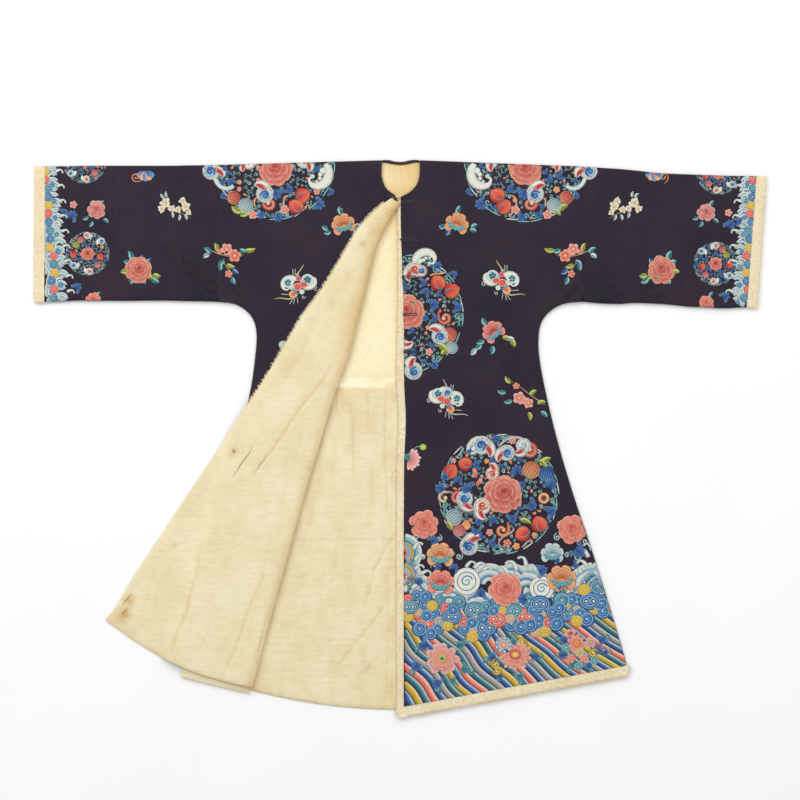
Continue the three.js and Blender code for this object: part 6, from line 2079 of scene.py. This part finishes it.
for kind, column, row, size in (
    ("r", 408.3, 599.5, 5.5), ("b", 425, 596.6, 6), ("b", 417, 595, 5), ("b", 424.5, 605, 6),
    ("y", 432, 605.3, 5), ("T", 410, 606.5, 8), ("c", 418.7, 612, 4), ("y", 407.5, 616, 5.5),
    ("b", 426.5, 615.3, 6.5),
    ("b", 434, 614, 5), ("r", 446.4, 608.6, 5.5), ("b", 453, 609.5, 6), ("B", 452, 616.5, 9),
    ("g", 439.6, 621.3, 5.5), ("y", 447.6, 625.5, 5), ("R", 425, 623.6, 8.5), ("T", 473.8, 609.7, 9),
    ("y", 476.5, 616.6, 5), ("r", 463.8, 621.5, 5.5), ("b", 471.5, 622.4, 6.5), ("b", 483.3, 618.8, 6),
    ("B", 500.3, 602.8, 9), ("b", 493.3, 610.3, 6), ("y", 501.6, 610.2, 5), ("T", 513.7, 610.7, 8.5),
    ("t", 486, 606, 5), ("R", 496.7, 618.7, 9.5), ("c", 510, 618.2, 4.5), ("R", 525.5, 616, 9.5),
    ("b", 511.5, 623.4, 7.5), ("B", 539.8, 603.8, 9.5), ("b", 533, 609.6, 6), ("y", 543.2, 611.2, 5.8),
    ("b", 552.2, 611.5, 6), ("r", 548.3, 622.6, 6), ("b", 539, 618, 6), ("t", 561.8, 600, 8),
    ("y", 583.7, 589.6, 5.5), ("c", 590, 588.4, 4), ("t", 597, 586.3, 7), ("b", 600.3, 593.5, 6.5),
    ("b", 571.3, 599, 6),
    ("b", 577, 602, 7), ("B", 589.6, 600.8, 10), ("b", 558.9, 607.5, 7), ("y", 565.5, 606, 4.5),
    ("c", 576.5, 608.2, 4), ("B", 567.2, 613.2, 9), ("b", 579.6, 613, 6.5), ("y", 594.4, 608.2, 6),
    ("b", 602.5, 611, 7),
    ("b", 601, 603.3, 7), ("y", 576.8, 620.3, 5.8), ("b", 586.6, 618.8, 7), ("b", 419.9, 628.5, 7),
    ("b", 430.6, 632.9, 6), ("b", 437.5, 628.3, 5.5), ("y", 472.7, 636, 5.8), ("b", 464.3, 628.6, 6),
    ("c", 473.5, 629, 4.5),
    ("B", 485.8, 627.2, 10), ("b", 483.5, 634.8, 6), ("b", 521, 626.5, 7.5), ("b", 530, 624.5, 7),
    ("c", 534.8, 632.2, 4.5), ("Y", 544, 631, 6.5), ("b", 538.6, 623.4, 5.5), ("b", 556.2, 623.4, 7),
    ("t", 459, 601, 6), ("t", 440, 600, 5), ("t", 529, 601, 6)):
    spot = at(column, row)
    shades = cloud_shades[kind.lower()]
    level = 3.0 + 0.35 * ((column * 7 + row * 3) % 5)
    squash = 0.8 if kind.isupper() else 0.95
    rings(spot, [size * 2.95, size * 2.8], [shades[0], shades[1]], level - 0.8, squash)
    if kind.isupper():
        cloud(spot, size * 2.6, shades, level)
    else:
        scroll_head(spot, size * 2.5, shades, level, 40 * (column % 3))
for column, row, radius, turn in ((432.3, 541, 7, 30), (454, 568, 5.5, 60), (480.4, 594.5, 7.5, 80),
        (540, 570.5, 8, 20), (524.8, 599, 8.5, 170), (577, 550, 9.5, -40), (574, 565, 5, -30),
        (556, 560, 4.5, 10), (437, 566, 5, 0), (418, 583, 7, 60)):
    rock(at(column, row), radius * 2.1, turn, blue, 3.4)
for column, row, radius, turn, hand in ((416.6, 536, 4.5, 90, 1), (439, 538, 4, 60, -1),
        (423, 556, 4, 180, 1), (459, 556, 4.5, 20, -1), (434, 565, 4, 200, -1), (557, 537, 4.5, 120, 1),
        (585, 541, 4.5, 40, -1),
        (567, 555, 4, 0, 1), (577, 557, 5, 60, -1), (452, 553, 3, 0, 1)):
    curl(at(column, row), radius * 2, turn, hand, (teal[0], teal[2], frost[2]), 1, 400, 0.26, 11)
peony(at(424, 524), 38, 10, salmon, 1.5, (7, 6, 4, 3))
peony(at(572, 529), 39, 30, salmon, 1.5, (8, 7, 5, 3))
side_peony(at(440.3, 556), 36, 0, (orange[0], (236, 164, 110), (246, 206, 150)), teal, 4)
side_peony(at(440.5, 583), 36, -4, salmon, teal, 4.5)
peony(at(505.3, 589), 45, 0, salmon, 5, (8, 7, 5, 3))
side_peony(at(561.4, 579), 38, 4, (orange[0], (238, 150, 92), (246, 202, 140)), teal, 4.5)
side_peony(at(552, 554), 30, 0, (frost[0], (190, 214, 206), (234, 238, 226)),
    (teal[0], teal[1], frost[1]), 2)
finish_sewing("left_skirt_waves")

for column, row, radius, turn in ((424, 645, 8, 200), (417, 665, 8, 230), (459, 645, 7, 30),
        (463, 668, 8, -20), (437, 681, 8, -90), (452, 679, 6, -60), (494, 657, 8, 190),
        (513, 642, 6, 80), (534, 656, 6, 0), (519, 675, 7, -80), (500, 675, 5, 240), (508, 651, 6, 150),
        (565, 640, 7, 170), (563, 654, 7, 200), (600, 640, 7, 20),
        (596, 650, 7, 0), (572, 664, 6, 240), (588, 664, 6, -60),
        (604, 652, 5, 10)):
    rock(at(column, row), radius * 1.9, turn, blue if (column + row) % 3 else teal, 1.5)
    curl(at(column, row) + cis(turn) * radius * 2.6, radius * 1.1, turn + 60, 1 if row % 2 else -1,
        (teal[0], teal[1], teal[2]), 1.8, 380, 0.3, 10)
star_flower(at(442, 658), 44, 0, (rose[0], (226, 128, 120), (246, 206, 192)), 9, gold, 2.6, 0.26)
for k in range(14):
    petal(at(442, 658) + cis(360 / 14 * k) * 8, at(442, 658) + cis(360 / 14 * k) * 24, 5.2, salmon[1],
        salmon[2], 5 + 0.05 * k, outline=salmon[0], lobes=1, rows=5, columns=6)
rings(at(442, 658), [11, 9, 7, 4], [rose[0], (150, 180, 140), gold[2], (90, 120, 110)], 6.2)
chrysanthemum = at(515, 654)
for ring, (count, reach, spread) in enumerate(((13, 44, 115), (11, 33, 125), (9, 22, 180))):
    for k in range(count):
        direction = cis(-52 - spread + 2 * spread * k / (count - 1))
        petal(chrysanthemum + direction * 7, chrysanthemum + direction * reach * (1 - 0.1 * (k % 2)),
            5.4, (216, 92, 80), (250, 192, 170), 3 + ring + 0.05 * k, outline=(252, 216, 198), lobes=1,
            point=0.05, rows=5, columns=6)
rings(chrysanthemum, [14, 12, 9, 5], [salmon[0], (222, 84, 70), (232, 130, 90), gold[2]], 6.2, 0.8)
rings(at(503.4, 644.4), [22, 20, 15, 12, 6, 3],
    [rose[0], (166, 196, 206), (120, 150, 180), (190, 210, 210), rose[1], gold[2]], 3)
for k in range(9):
    rings(at(503.4, 644.4) + cis(40 * k) * 17, [4.5, 2.5], [(80, 110, 150), (206, 216, 212)], 4, count=8)
for column, row, turn in ((521.7, 642, 0), (495.7, 664, 120), (497, 670, 200), (593, 653, 40)):
    curl(at(column, row), 11, turn, 1, (ochre[0], (226, 190, 50), (246, 226, 130)), 4, 420, 0.36, 13)
star_flower(at(576, 643), 23, 0, salmon, 9, gold, 3, 0.26)
for lean in (70, 110, 150):
    petal(at(571, 636), at(571, 636) + cis(lean) * 20, 8, rose[1], rose[2], 3, outline=rose[0])
star_flower(at(579.5, 652), 13, 0, (ochre[0], (222, 200, 130), (240, 232, 190)), 8, gold, 3.6, 0.26)
star_flower(at(590, 642), 15, 20, (rose[0], (214, 150, 160), (240, 214, 210)), 9, gold, 3.4, 0.26)
for column, row, kind in ((584, 658, rose), (571, 658, salmon), (578, 666, teal), (594, 660, teal),
        (566, 647, teal)):
    plum(at(column, row), 12, 0, kind, 3)
finish_sewing("left_skirt_flowers")


# Each cuff carries the same waves in a narrow band beside the fur, with cloud heads along it
# and two peonies on its inner side.
for name, hand in (("left_cuff_waves", 1), ("right_cuff_waves", -1)):
    def near_cuff(share, row):
        """A place on the band, 0 at its inner edge and 1 beside the fur."""
        low, high = (166, 307) if hand > 0 else (163, 301)
        down_share = (row - low) / (high - low)
        inner, outer = 745 - 13 * down_share, 756 - 7.5 * down_share
        column = inner + (outer - inner) * share
        return at(column, row) if hand > 0 else at(800 - column - 0.5, row)

    strange = np.random.default_rng(21 + hand)
    for row in np.arange(168, 304, 5.2):
        for share in (0.25, 0.8):
            spot = near_cuff(share + strange.uniform(-0.1, 0.1), row + strange.uniform(-1, 1))
            lean = strange.uniform(-20, 20) + (60 if hand > 0 else 120)
            sizes = np.linspace(1.0, 0.2, 5) * strange.uniform(15, 20)
            colours = (foam_white, surf, foam_white, teal[1] if share < 0.5 else foam_blue)
            wave(spot, sizes, lean - 90, lean + 90, colours, 0.6 + 0.2 * share, 9)
    for row in np.arange(172, 300, 15):
        root = near_cuff(-0.05, row)
        column, line = root.real / grid_step + 400, 437.5 - root.imag / grid_step
        crest(column, line, 4.5, 150 if hand > 0 else 30, hand, 1.8)
    kinds = "yrtbyrbtbyrtybrt"
    for k, row in enumerate(np.arange(172, 302, 8.4)):
        spot = near_cuff(strange.uniform(0.6, 0.9), row)
        rings(spot, [11, 10], [cloud_shades[kinds[k]][0], cloud_shades[kinds[k]][1]], 1.6)
        scroll_head(spot, strange.uniform(8, 10.5), cloud_shades[kinds[k]], 2, 30 * k)
        if k % 2:
            scroll_head(near_cuff(0.3, row + 4), strange.uniform(6, 8),
                cloud_shades["b" if k % 4 == 1 else "t"], 2, 30 * k)
    for place, radius, shades in (((706, 214), 24, rose), ((706, 304), 20, salmon)):
        column = place[0] if hand > 0 else 800 - place[0] + (3 if place[1] < 250 else 0)
        peony(at(column, place[1] - (1 if hand > 0 else 4)), radius, 20, shades, 1.4, (7, 5, 4, 3))
        for lean in (200, 240, -40, 60):
            root = at(column, place[1]) + cis(lean) * radius * 0.9
            leaf(root, root + cis(lean) * 16, 5, teal, 0.6)
    for place, radius, turn in (((729, 226), 15, 60), ((737, 222), 11, 20), ((724, 297), 13, 40)):
        rock(at(place[0] if hand > 0 else 801 - place[0], place[1] - (0 if hand > 0 else 9)), radius,
            turn, blue, 1.2)
    plum(at(728 if hand > 0 else 74, 213 if hand > 0 else 205), 10, 0, rose, 1.2)
    finish_sewing(name)
